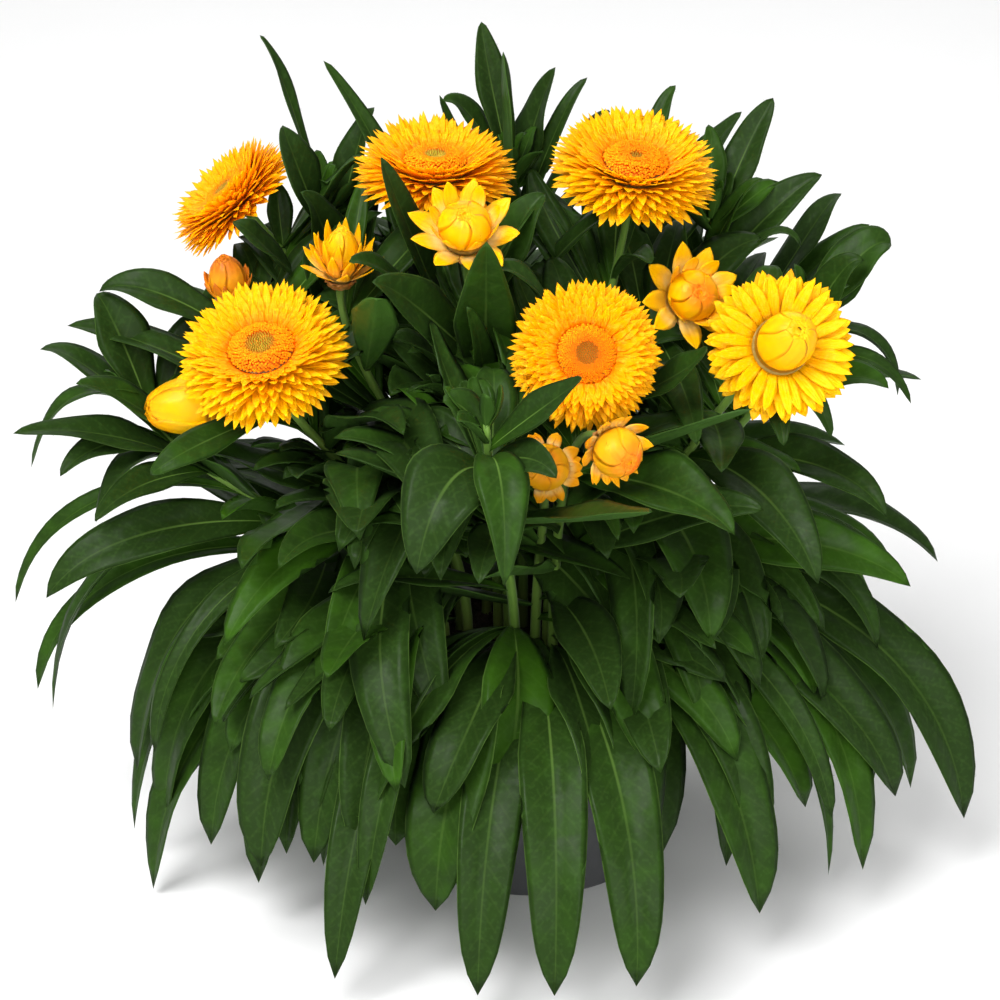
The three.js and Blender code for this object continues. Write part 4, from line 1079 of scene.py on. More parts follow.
def clear_of_opening(leaf):
    """The leaf doesn't cover the dark opening in front, where the stems and the leaf roots show."""
    for point in bezier(leaf_curve(leaf), np.array([0.3, 0.5, 0.7, 0.85, 1.0])):
        right, up, nearer = view_of(point)
        away = [(place - middle) / reach
                for place, middle, reach in zip((right, up), OPENING, OPENING_REACH)]
        if nearer > OPENING_NEARNESS and math.hypot(*away) < 1:
            return False
    return True


def inside_plant(leaf):
    return sum(((place - middle) / reach) ** 2
               for place, middle, reach in zip(leaf["tip"], PLANT_CENTRE, PLANT_REACH)) < 1


def clear_of_heads(leaf, heads):
    """The leaf goes through no head, and hides none from the front."""
    samples = bezier(leaf_curve(leaf), np.array([0.2, 0.35, 0.5, 0.65, 0.8, 0.9, 1.0]))
    for centre, facing, reach, _ in heads:
        offset = samples - centre
        height = offset @ facing
        beside = np.linalg.norm(offset - np.outer(height, facing), axis=1)
        if np.any((height > -12) & (height < 24) & (beside < reach + 4)):
            return False
        right, up, nearer = view_of(centre)
        for sample in samples:
            r, u, near = view_of(sample)
            if near > nearer and math.hypot(r - right, u - up) < reach + 6:
                return False
    return True


def clear_of_all(leaf, heads):
    return clear_of_pot(leaf) and clear_of_heads(leaf, heads) and clear_of_opening(leaf)


# Bracts and florets of a head, in its own frame: +Z is the way it faces

def thinned(thickness, across):
    """The thickness of a papery bract, less towards its margins."""
    return thickness * (1 - 0.5 * across ** 2)


def staggered(i, row, count, draw, loose):
    """Bearing of a bract in its row. Each second row is turned by half a place."""
    return 2 * math.pi * (i + 0.5 * (row % 2) + draw.uniform(-loose, loose)) / count


def bract(shape, base, bend, tip, angle, half, tone, blush, draw, thickness, curl=0.0):
    """One papery bract: a narrow trough with a pointed tip."""
    t = np.array([0, 0.2, 0.42, 0.62, 0.78, 0.9])
    pull = base + (bend - base) * 1.25
    flat = base * ((1 - t) ** 2)[:, None] + pull * (2 * t * (1 - t))[:, None] + tip * (t ** 2)[:, None]
    sway = angle + draw.uniform(-0.04, 0.04) * t + draw.uniform(-0.06, 0.06) * t ** 2
    level = flat[:, 1] + curl * t ** 3
    middle = np.stack([flat[:, 0] * np.cos(sway), flat[:, 0] * np.sin(sway), level], axis=1)
    end = np.array([tip[0] * math.cos(sway[-1]), tip[0] * math.sin(sway[-1]), tip[1] + curl * 1.15])
    way = unit(np.diff(np.concatenate([middle, end[None]]), axis=0))
    across = np.stack([-np.sin(sway), np.cos(sway), 0 * sway], axis=1)
    across = unit(across - way * np.sum(across * way, axis=1, keepdims=True))
    across = turned_about(across, way, draw.uniform(-0.07, 0.07) + draw.uniform(-0.16, 0.16) * t)
    normal = np.cross(way, across)
    outline = half * smooth_through((0, 0.2, 0.5, 0.78, 0.92), (0.6, 0.88, 1, 0.66, 0.3), t)
    u = spread_across(5)
    top = middle[:, None] + across[:, None] * (outline[:, None] * u)[..., None]
    top = top + normal[:, None] * (outline[:, None] * 0.1 * u ** 2)[..., None]
    blade(shape, top, normal[:, None], thinned(thickness, u), (t, blush, tone, draw.random()), end)


# The innermost bracts of an open head stand close round the florets: base, bend and tip
INNER = {"open": ((10.4, 1.0), (13.2, 3.4), (17.4, 5.6))}


def layer_at(kind, place):
    """Base, bend and tip of a bract at a place between the layers of the head, from 0 for the lowest."""
    layers, seats = KINDS[kind]["layers"], list(KINDS[kind]["seats"])
    tips, bends = [layer[0] for layer in layers], [layer[1] for layer in layers]
    bases = [(seat[0] * 0.86, seat[1] + 0.3) for seat in seats[:len(layers)]]
    if kind in INNER:
        for row, point in zip((bases, bends, tips), INNER[kind]):
            row.append(point)
    places = np.arange(len(tips))
    return [np.array([np.interp(place, places, [point[axis] for point in row]) for axis in (0, 1)])
            for row in (bases, bends, tips)]


def spreading_bracts(shape, kind, rows, count, half, draw, thickness, tones, blush=0.0):
    """Rows of bracts that spread, from the lowest layer to the innermost. tones are for the lowest row, for
    the middle and for the innermost."""
    top = len(KINDS[kind]["layers"]) - 1 + (kind in INNER)
    for row in range(rows):
        part = row / max(1, rows - 1)
        base, bend, tip = layer_at(kind, part * top)
        number = round(count * (1 - 0.1 * part))
        for i in range(number):
            angle = staggered(i, row, number, draw, 0.2)
            end = base + (tip - base) * (1 - draw.uniform(0, 0.13)) + (0, draw.uniform(-1.0, 0.6))
            tone = float(np.interp(part, (0, 0.6, 1), tones)) + draw.uniform(-0.07, 0.07)
            edge = blush if row else blush + 0.6
            width = half * (1 - 0.3 * part ** 2)
            bract(shape, base, bend, end, angle, width, tone, edge, draw, thickness, draw.uniform(-0.8, 1.4))


def folded_bracts(shape, profile, rows, count, draw, thickness, tone, blush, twist=0.5):
    """Broad smooth bracts wrapped over a closed crown, each with one edge under its neighbour."""
    profile = np.array(profile, float)
    stops = np.concatenate([[0], np.cumsum(np.linalg.norm(np.diff(profile, axis=0), axis=1))])
    stops /= stops[-1]
    u = spread_across(9)
    t = np.linspace(0, 1, 13)[:-1]
    for row in range(rows):
        part = row / max(1, rows - 1)
        reach = 0.88 + 0.11 * part
        for i in range(count):
            angle = staggered(i, row, count, draw, 0.12)
            length = reach * draw.uniform(0.95, 1.0)
            line = smooth_through(stops, profile, t * length)
            way = unit(smooth_through(stops, profile, t * length + 0.01) - line)
            outward = np.stack([way[:, 1], -way[:, 0]], axis=1)
            lift = 0.15 + 0.32 * (1 - part) + 0.1 * u[None, :] * np.sin(math.pi * t ** 0.7)[:, None]
            wide = profile[:, 0].max() * math.pi / count * 1.5
            wide = wide * smooth_through((0, 0.35, 0.7, 0.92), (0.9, 1, 0.72, 0.28), t)
            spin = angle + twist * t[:, None] ** 1.5
            spin = spin + u * np.clip(wide / np.maximum(line[:, 0], 0.8), 0, 1.25)[:, None]
            radius = line[:, :1] + outward[:, :1] * lift
            level = line[:, 1:] + outward[:, 1:] * lift
            top = np.stack([radius * np.cos(spin), radius * np.sin(spin), level], axis=2)[:, ::-1]
            normal = np.stack([outward[:, :1] * np.cos(spin), outward[:, :1] * np.sin(spin),
                               outward[:, 1:] * np.ones_like(spin)], axis=2)[:, ::-1]
            end = smooth_through(stops, profile, np.array([length]))[0] + outward[-1] * 0.3
            tip = np.array([end[0] * math.cos(angle + twist), end[0] * math.sin(angle + twist), end[1]])
            blade(shape, top, normal, thinned(thickness, u), (t, blush, tone, draw.random()), tip)


def covered_core(profile, foot):
    """Profile of the plain core that closes a crown just under its folded bracts."""
    return foot + [(max(0.3, radius * 0.92), height * 0.96) for radius, height in profile[1:]]


def receptacle(shape, kind, slot):
    """The firm body that carries the bracts, from its foot to under the florets."""
    foot, seats = KINDS[kind]["foot"], KINDS[kind]["seats"]
    profile = [(foot[0] * 0.5, foot[1]), (foot[0], foot[1] + 0.4)]
    profile += [(radius * 0.96, height) for radius, height in seats]
    profile += [(seats[-1][0] * 0.6, seats[-1][1] + 0.2)]
    lathe(profile, 24, (0, 0.1, 1, 0, 0.9, 0.5), shape, slot)


def scales(shape, kind, rows, draw, thickness, slot):
    """Short rounded bracts that overlap under the head."""
    foot, seats = KINDS[kind]["foot"], KINDS[kind]["seats"]
    line = np.array([foot, ((foot[0] + seats[0][0]) / 2 + 0.6, (foot[1] + seats[0][1]) / 2 - 0.8), seats[0],
                     (seats[0][0] * 1.35, seats[0][1] + 0.6)])
    stops = (0, 0.33, 0.66, 1)
    t, u = np.linspace(0, 1, 7)[:-1], spread_across(5)
    for row in range(rows):
        start, reach = 0.05 + 0.5 * row / rows, 0.36 + 0.05 * row
        count = 9 + 3 * row
        flat = smooth_through(stops, line, np.minimum(start + reach * t, 1))
        last = smooth_through(stops, line, np.array([min(start + reach + 0.06, 1)]))[0]
        half = math.pi * line[1][0] / count * (1.3 + 0.5 * row)
        outline = half * smooth_through((0, 0.4, 0.75, 0.9), (0.7, 1, 0.8, 0.5), t)
        for i in range(count):
            angle = staggered(i, row, count, draw, 0.12)
            spoke = np.array([math.cos(angle), math.sin(angle), 0])
            out = 0.25 + 0.5 * t
            middle = np.outer(flat[:, 0] + out * 0.6, spoke) + np.outer(flat[:, 1] - out, UP)
            tip = spoke * (last[0] + 0.7) + UP * (last[1] - 0.9)
            way = unit(np.diff(np.concatenate([middle, tip[None]]), axis=0))
            across = np.cross(spoke, UP)
            normal = np.cross(way, across)
            top = middle[:, None] + across * (outline[:, None] * u)[..., None]
            top = top - normal[:, None] * (outline[:, None] * 0.3 * u ** 2)[..., None]
            paint = (t, 0.0, 1 - 0.25 * row / rows, draw.random())
            blade(shape, top, normal[:, None], thinned(thickness, u), paint, tip, slot)


def florets(shape, kind, count, middle, brown, draw):
    """A dome with the florets in their spirals: open and lobed outside, closed in the middle. The rings of a
    floret have the share of its radius, its place along the floret, and how much of the lobes they take."""
    fine = math.sqrt(FULL_SIZE_FLORETS / count)
    profile = KINDS[kind]["centre"]
    core = [(0.2, -0.6), (8.8, -0.6), (9.4, 0.6), (8.6, 2.0), (5, 2.8), (0.2, 2.5)]
    lathe(core, 32, (0.7, 0, 1, 0, 0.4, 0.5), shape)
    for i in range(count):
        out = DISC_RADIUS * math.sqrt((i + 0.5) / count)
        opened = float(np.clip((out - middle) / 1.4, 0, 1)) * (0.8 + 0.2 * draw.random())
        if opened > OPEN_FLORET:
            sides, stations = 10, (0, 0.5, 1, 0.3)
            rings = ((0.26, -1.8, 0), (0.24, -0.4, 0), (0.5, 0.2, 1), (0.16, -0.2, 0))
        else:
            sides, stations = 6, (0, 0.6, 1)
            rings = ((0.3, -1.2, 0), (0.36, -0.4, 0), (0.12, 0.2, 0))
        angle = round_angles(sides)
        lobed = 1 + 0.42 * np.cos(5 * angle)
        spin = i * FLORET_TURN + draw.uniform(-0.02, 0.02)
        lean = 0.95 * (out / 10.6) ** 3 + draw.uniform(-0.14, 0.14) * opened
        height = np.interp(out, [point[0] for point in profile[:4]], [point[1] for point in profile[:4]])
        height += draw.uniform(-0.35, 0.3) * opened - 0.7 * (1 - opened) * (1 - out / 12)
        spoke = np.array([math.cos(spin), math.sin(spin), 0])
        way = unit(spoke * math.sin(lean) + UP * math.cos(lean))
        across = np.cross(UP, spoke)
        beside = np.cross(way, across)
        foot = spoke * out + UP * height
        points = []
        for radius, along, lobes in rings:
            reach = radius * fine * (1 + lobes * (lobed - 1))
            points.append(foot + way * along + np.outer(reach * np.cos(angle), across)
                          + np.outer(reach * np.sin(angle), beside))
        paint = np.zeros((len(rings), sides, 6))
        paint[..., 0] = out / 10.4
        paint[..., 1] = np.array(stations)[:, None]
        paint[..., 2] = 1
        paint[..., 3] = brown
        paint[..., 4] = opened
        paint[..., 5] = draw.random()
        shape.add(np.array(points), loft_faces(len(rings), sides, False), paint)


def turn_to(facing):
    """The turn that takes +Z to the way a head faces."""
    return np.array(Vector((0, 0, 1)).rotation_difference(Vector(facing)).to_matrix())


# Materials

class Finish:
    """A material in the making. Each method adds a node and gives back what it puts out."""

    def __init__(self, name):
        self.material = bpy.data.materials.new(name)
        self.material.use_nodes = True
        self.tree = self.material.node_tree
        self.tree.nodes.clear()
        self.shader = self.tree.nodes.new("ShaderNodeBsdfPrincipled")
        self.shader.subsurface_method = "BURLEY"
        output = self.tree.nodes.new("ShaderNodeOutputMaterial")
        self.tree.links.new(self.shader.outputs["BSDF"], output.inputs["Surface"])
        self.object = self.tree.nodes.new("ShaderNodeTexCoord").outputs["Object"]

    def feed(self, socket, value):
        """Link a socket to what another node puts out, or set its value."""
        if isinstance(value, bpy.types.NodeSocket):
            self.tree.links.new(value, socket)
        else:
            socket.default_value = value

    def surface(self, **values):
        for name, value in values.items():
            self.feed(self.shader.inputs[name.replace("_", " ").title().replace("Ior", "IOR")], value)

    def painted(self, attribute):
        """The three values of a painted attribute."""
        node = self.tree.nodes.new("ShaderNodeAttribute")
        node.attribute_name = attribute
        split = self.tree.nodes.new("ShaderNodeSeparateXYZ")
        self.tree.links.new(node.outputs["Vector"], split.inputs[0])
        return split.outputs

    def translucent(self, weight, scale, radius):
        self.surface(subsurface_weight=weight, subsurface_scale=scale)
        self.shader.inputs["Subsurface Radius"].default_value = radius

    def math(self, operation, a, b=0.0, c=0.0):
        node = self.tree.nodes.new("ShaderNodeMath")
        node.operation = operation
        for socket, value in zip(node.inputs, (a, b, c)):
            self.feed(socket, value)
        return node.outputs[0]

    def span(self, value, low, high, to_low=0.0, to_high=1.0):
        """A smooth step from one value to another, between low and high."""
        node = self.tree.nodes.new("ShaderNodeMapRange")
        node.interpolation_type = "SMOOTHSTEP"
        for name, one in (("Value", value), ("From Min", low), ("From Max", high), ("To Min", to_low),
                          ("To Max", to_high)):
            self.feed(node.inputs[name], one)
        return node.outputs[0]

    def times(self, a, b):
        return self.math("MULTIPLY", a, b)

    def mix(self, factor, a, b):
        node = self.tree.nodes.new("ShaderNodeMix")
        node.data_type = "RGBA"
        self.feed(node.inputs[0], factor)
        for socket, value in ((node.inputs[6], a), (node.inputs[7], b)):
            self.feed(socket, value if isinstance(value, bpy.types.NodeSocket) else (*value, 1))
        return node.outputs[2]

    def noise(self, scale, detail=2.0, stretch=None):
        node = self.tree.nodes.new("ShaderNodeTexNoise")
        vector = self.object
        if stretch:
            mapping = self.tree.nodes.new("ShaderNodeMapping")
            mapping.inputs["Scale"].default_value = stretch
            self.tree.links.new(vector, mapping.inputs["Vector"])
            vector = mapping.outputs[0]
        self.tree.links.new(vector, node.inputs["Vector"])
        node.inputs["Scale"].default_value = scale
        node.inputs["Detail"].default_value = detail
        return node.outputs[0]

    def bump(self, height, strength, distance):
        node = self.tree.nodes.new("ShaderNodeBump")
        node.inputs["Strength"].default_value = strength
        node.inputs["Distance"].default_value = distance
        self.tree.links.new(height, node.inputs["Height"])
        self.tree.links.new(node.outputs[0], self.shader.inputs["Normal"])


def leaf_finish(settings):
    finish = Finish("strawflower_leaf")
    across, along, side = finish.painted("place")
    veins, tone, fleck = finish.painted("grain")
    far = finish.math("ABSOLUTE", across)
    midrib = finish.times(finish.span(far, 0.06, 0.015), finish.span(along, 0.75, 0.05, 0.1, 0.8))
    wave = finish.math("ABSOLUTE", finish.math("SUBTRACT", finish.math("FRACT", veins), 0.5))
    vein = finish.times(finish.span(wave, 0.14, 0.02), finish.span(far, 0.95, 0.5))
    mottle, speck = finish.noise(110, 1), finish.noise(700, 0)
    # level carries each leaf's painted light and shade by height, besides its own tone and mottle
    level = finish.math("ADD", tone, finish.span(mottle, 0.35, 0.7, -0.1, 0.12))
    level = finish.math("ADD", level, finish.times(finish.math("SUBTRACT", fleck, 0.5), 0.3))
    body = finish.mix(finish.span(level, -0.1, 1.15), settings.dark, settings.bright)
    body = finish.mix(finish.span(along, 0.3, 0.0, 0.0, 0.6), body, settings.bright)
    lines = finish.math("MAXIMUM", midrib, finish.times(vein, 0.03))
    body = finish.mix(lines, body, settings.vein)
    body = finish.mix(finish.span(far, 0.955, 1.0, 0.0, 0.5), body, settings.vein)
    under = finish.mix(0.55, body, settings.back)
    body = finish.mix(finish.span(side, 0.3, 0.7), under, body)
    body = finish.mix(finish.span(speck, 0.5, 0.75, 0.0, 0.12), body, settings.back)
    gloss = finish.span(mottle, 0.3, 0.75, 0.32, 0.46)
    finish.surface(base_color=body, roughness=gloss, specular_ior_level=0.07)
    finish.surface(sheen_weight=0.006, sheen_roughness=0.5)
    finish.shader.inputs["Sheen Tint"].default_value = (0.8, 0.9, 0.75, 1)
    finish.bump(finish.noise(260, 0), 0.5, 0.0005)
    return finish.material


def stem_finish(settings):
    finish = Finish("strawflower_stem")
    across, along, _ = finish.painted("place")
    _, tone, _ = finish.painted("grain")
    streak = finish.noise(500, 3, stretch=(1, 1, 0.08))
    body = finish.mix(finish.span(across, -1, 1, 0.1, 0.6), settings.stem, settings.vein)
    body = finish.mix(finish.span(along, 0.1, 0.0, 0.0, 0.6), body, (0.12, 0.12, 0.03))
    body = finish.mix(finish.span(streak, 0.4, 0.7, 0.0, 0.35), body, (0.07, 0.16, 0.03))
    body = finish.mix(finish.times(tone, 0.3), body, (0.22, 0.3, 0.06))
    finish.surface(base_color=body, roughness=0.5, specular_ior_level=0.2)
    finish.surface(sheen_weight=0.1, sheen_roughness=0.4)
    finish.bump(streak, 0.4, 0.0004)
    return finish.material


def bract_finish(settings):
    finish = Finish("papery_bract")
    across, along, side = finish.painted("place")
    blush, tone, fleck = finish.painted("grain")
    rib = finish.math("SINE", finish.times(across, 13.0))
    grain = finish.noise(650, 3)
    body = finish.mix(finish.span(tone, 0.0, 0.8), settings.lemon, settings.gold)
    heat = finish.times(finish.span(along, 0.8, 0.1), finish.span(tone, 0.1, 1.0, 0.06, 1.0))
    body = finish.mix(heat, body, settings.orange)
    brown = finish.times(finish.span(along, 0.6, 1.0), finish.times(blush, fleck))
    body = finish.mix(brown, body, (0.72, 0.22, 0.02))
    body = finish.mix(finish.span(rib, -1.0, 1.0, 0.0, 0.1), body, settings.gold)
    body = finish.mix(finish.span(grain, 0.45, 0.7, 0.0, 0.15), body, (1.0, 0.8, 0.1))
    body = finish.mix(finish.span(side, 0.6, 0.2, 0.0, 0.25), body, settings.gold)
    gloss = finish.span(grain, 0.3, 0.7, 0.4, 0.55)
    finish.surface(base_color=body, roughness=gloss, specular_ior_level=0.07)
    finish.translucent(0.6, 0.0012, (1.0, 0.8, 0.1))
    finish.bump(finish.math("MULTIPLY_ADD", rib, 0.3, grain), 0.4, 0.0003)
    return finish.material


def bud_finish(settings):
    """The bracts of a bud. Their blush is how pale they are, or below zero how red the crown's tip is."""
    finish = Finish("golden_bud_bract")
    across, along, _ = finish.painted("place")
    pale, tone, _ = finish.painted("grain")
    rib = finish.math("SINE", finish.times(across, 12.0))
    grain = finish.noise(420, 3)
    cloud = finish.noise(90, 2)
    body = finish.mix(finish.span(tone, 0.0, 0.8), settings.lemon, settings.gold)
    patch = finish.times(finish.span(along, 0.7, 0.25), finish.span(cloud, 0.4, 0.6, 0.1, 0.8))
    body = finish.mix(finish.times(finish.math("MAXIMUM", pale, 0.0), patch), body, settings.pale)
    crown = finish.math("MAXIMUM", finish.times(pale, -1.0), 0.0)
    glow = finish.times(finish.span(along, 0.45, 0.95), finish.span(cloud, 0.35, 0.6, 0.5, 1.0))
    red = finish.times(crown, glow)
    body = finish.mix(red, body, (1.0, 0.13, 0.01))
    # A dark brown band at the foot of a crown's bracts: partly their dry edges, and partly painted shade in the
    # gap at the crown's foot
    dry_edge_and_shade = finish.times(finish.span(along, 0.12, 0.05), finish.span(crown, 0.0, 0.05, 0.0, 0.8))
    body = finish.mix(dry_edge_and_shade, body, (0.14, 0.05, 0.01))
    rust = finish.times(finish.span(tone, 0.1, 1.0), finish.span(along, 0.2, 1.0, 0.3, 1.0))
    margin = finish.span(finish.math("ABSOLUTE", across), 0.8, 1.0, 0.0, 0.5)
    rust = finish.math("MAXIMUM", rust, finish.times(margin, finish.span(along, 0.3, 0.9)))
    body = finish.mix(rust, body, settings.rust)
    body = finish.mix(finish.span(rib, -1.0, 1.0, 0.0, 0.08), body, settings.gold)
    body = finish.mix(finish.span(grain, 0.5, 0.72, 0.0, 0.12), body, (0.6, 0.3, 0.03))
    gloss = finish.span(grain, 0.3, 0.7, 0.28, 0.42)
    finish.surface(base_color=body, roughness=gloss, specular_ior_level=0.13)
    finish.translucent(0.5, 0.002, (1.0, 0.7, 0.12))
    finish.bump(finish.math("MULTIPLY_ADD", rib, 0.3, grain), 0.4, 0.0003)
    return finish.material


def scale_finish(settings):
    finish = Finish("brown_scale")
    _, along, _ = finish.painted("place")
    _, _, fleck = finish.painted("grain")
    grain = finish.noise(500, 3)
    body = finish.mix(finish.span(along, 0.1, 0.9), (0.2, 0.2, 0.05), (0.5, 0.2, 0.03))
    body = finish.mix(finish.times(fleck, 0.4), body, settings.rust)
    body = finish.mix(finish.span(grain, 0.45, 0.7, 0.0, 0.3), body, (0.75, 0.5, 0.18))
    finish.surface(base_color=body, roughness=0.36, subsurface_weight=0.1, subsurface_scale=0.001)
    finish.bump(grain, 0.5, 0.0003)
    return finish.material


def floret_finish(settings):
    finish = Finish("orange_floret")
    out, along, _ = finish.painted("place")
    brown, opened, fleck = finish.painted("grain")
    grain = finish.noise(1400, 2)
    ripe = finish.mix(finish.span(along, 0.4, 1.0), settings.orange, (1.0, 0.36, 0.0))
    ripe = finish.mix(finish.times(finish.span(fleck, 0.5, 1.0), 0.4), ripe, (1.0, 0.5, 0.0))
    ripe = finish.mix(finish.span(out, 0.8, 0.4, 0.0, 0.5), ripe, (0.8, 0.17, 0.0))
    ripe = finish.mix(finish.span(along, 0.4, 0.2, 0.0, 0.4), ripe, (0.85, 0.13, 0.0))
    young = finish.mix(finish.span(fleck, 0.2, 1.0), settings.olive, (0.62, 0.45, 0.04))
    young = finish.mix(finish.times(brown, 0.8), young, (0.36, 0.12, 0.008))
    young = finish.mix(finish.span(out, 0.25, 0.45, 0.0, 0.6), young, (0.6, 0.22, 0.01))
    body = finish.mix(finish.span(opened, 0.1, 0.6), young, ripe)
    body = finish.mix(finish.span(grain, 0.5, 0.7, 0.0, 0.15), body, (1.0, 0.45, 0.0))
    finish.surface(base_color=body, roughness=0.6, specular_ior_level=0.15)
    finish.translucent(0.3, 0.0008, (1.0, 0.5, 0.1))
    finish.bump(grain, 0.4, 0.0002)
    return finish.material


def pot_finish(settings):
    finish = Finish("pot_plastic")
    speckle = finish.noise(1800, 2)
    streak = finish.noise(60, 4, stretch=(1, 1, 0.15))
    scuff = finish.noise(35, 5)
    body = finish.mix(finish.span(streak, 0.35, 0.7, 0.0, 0.35), settings.plastic, (0.085, 0.087, 0.09))
    body = finish.mix(finish.span(scuff, 0.6, 0.75, 0.0, 0.3), body, (0.16, 0.15, 0.135))
    body = finish.mix(finish.span(speckle, 0.55, 0.75, 0.0, 0.15), body, (0.02, 0.02, 0.022))
    finish.surface(base_color=body, roughness=finish.span(scuff, 0.35, 0.7, 0.38, 0.6))
    finish.bump(finish.math("MULTIPLY_ADD", streak, 0.6, speckle), 0.3, 0.0002)
    return finish.material


def soil_finish(settings):
    finish = Finish("potting_soil")
    coarse = finish.noise(240, 5)
    fine = finish.noise(1100, 4)
    body = finish.mix(finish.span(coarse, 0.35, 0.7), settings.peat, (0.055, 0.034, 0.02))
    body = finish.mix(finish.span(fine, 0.6, 0.75, 0.0, 0.6), body, settings.fibre)
    finish.surface(base_color=body, roughness=0.95)
    finish.bump(finish.math("ADD", coarse, fine), 0.9, 0.0012)
    return finish.material


def floor_finish(settings):
    finish = Finish("pale_floor")
    cloud = finish.noise(3, 2)
    tint = tuple(settings.floor)
    body = finish.mix(finish.span(cloud, 0.3, 0.7), tint, tuple(one * 0.985 for one in tint))
    finish.surface(base_color=body, roughness=0.9)
    return finish.material


# Operators: one for each piece or group of like pieces, and one for the stage

def rides(piece, slot, *nodes):
    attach(piece, "root")
    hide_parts(*nodes)


class STRAWFLOWER_OT_stage(Operator):
    """Set the camera, a pale floor and soft studio light"""

    bl_idname = "strawflower.stage"
    bl_label = "Stage"

    def execute(self, context):
        settings = context.scene.strawflower_stage
        self.add_camera(context.scene)
        self.add_floor(context.scene, settings)
        self.add_light("key_light", (-0.7, -1.0, 1.7), (1.1, 1.1), settings.key)
        self.add_light("front_light", (0.5, -1.7, 0.75), (1.6, 1.0), settings.fill)
        self.add_light("back_light", (0.1, 1.2, 1.5), (1.4, 0.9), settings.fill * 0.5)
        world = bpy.data.worlds.new("soft_room")
        world.use_nodes = True
        background = world.node_tree.nodes["Background"]
        background.inputs["Color"].default_value = (1, 1, 1, 1)
        background.inputs["Strength"].default_value = 0.4
        context.scene.world = world
        context.scene.view_settings.view_transform = "Standard"
        return {"FINISHED"}

    def add_camera(self, scene):
        lens = bpy.data.cameras.new("camera")
        lens.sensor_fit = "HORIZONTAL"
        lens.sensor_width = SENSOR_WIDTH
        lens.lens = SENSOR_WIDTH * EYE_FAR / VIEW_WIDTH
        lens.clip_end = 20
        camera = bpy.data.objects.new("camera", lens)
        camera.location = Vector((EYE_AIM + TO_EYE * EYE_FAR) * MM)
        camera.rotation_euler = Vector(-TO_EYE).to_track_quat("-Z", "Y").to_euler()
        scene.collection.objects.link(camera)
        scene.camera = camera

    def add_floor(self, scene, settings):
        reach, rise, steps = 3.0, 2.2, 12
        start, bend = 1.6, 0.8
        line = [(-reach, 0.0)]
        for i in range(steps + 1):
            angle = math.pi / 2 * i / steps
            line.append((start + bend * math.sin(angle), bend - bend * math.cos(angle)))
        line.append((start + bend, rise))
        points = [(x, y, z) for y, z in line for x in (-reach, reach)]
        faces = [(2 * i, 2 * i + 1, 2 * i + 3, 2 * i + 2) for i in range(len(line) - 1)]
        mesh = bpy.data.meshes.new("floor")
        mesh.from_pydata(points, [], faces)
        mesh.polygons.foreach_set("use_smooth", [True] * len(faces))
        mesh.materials.append(floor_finish(settings))
        floor = bpy.data.objects.new("floor", mesh)
        scene.collection.objects.link(floor)
        floor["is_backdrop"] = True

    def add_light(self, name, place, shape, power):
        light = bpy.data.lights.new(name, "AREA")
        light.shape = "RECTANGLE"
        light.size, light.size_y = shape
        light.energy = power
        made = bpy.data.objects.new(name, light)
        made.location = place
        way = Vector((0, 0, 0.14)) - Vector(place)
        made.rotation_euler = way.to_track_quat("-Z", "Y").to_euler()
        bpy.context.scene.collection.objects.link(made)


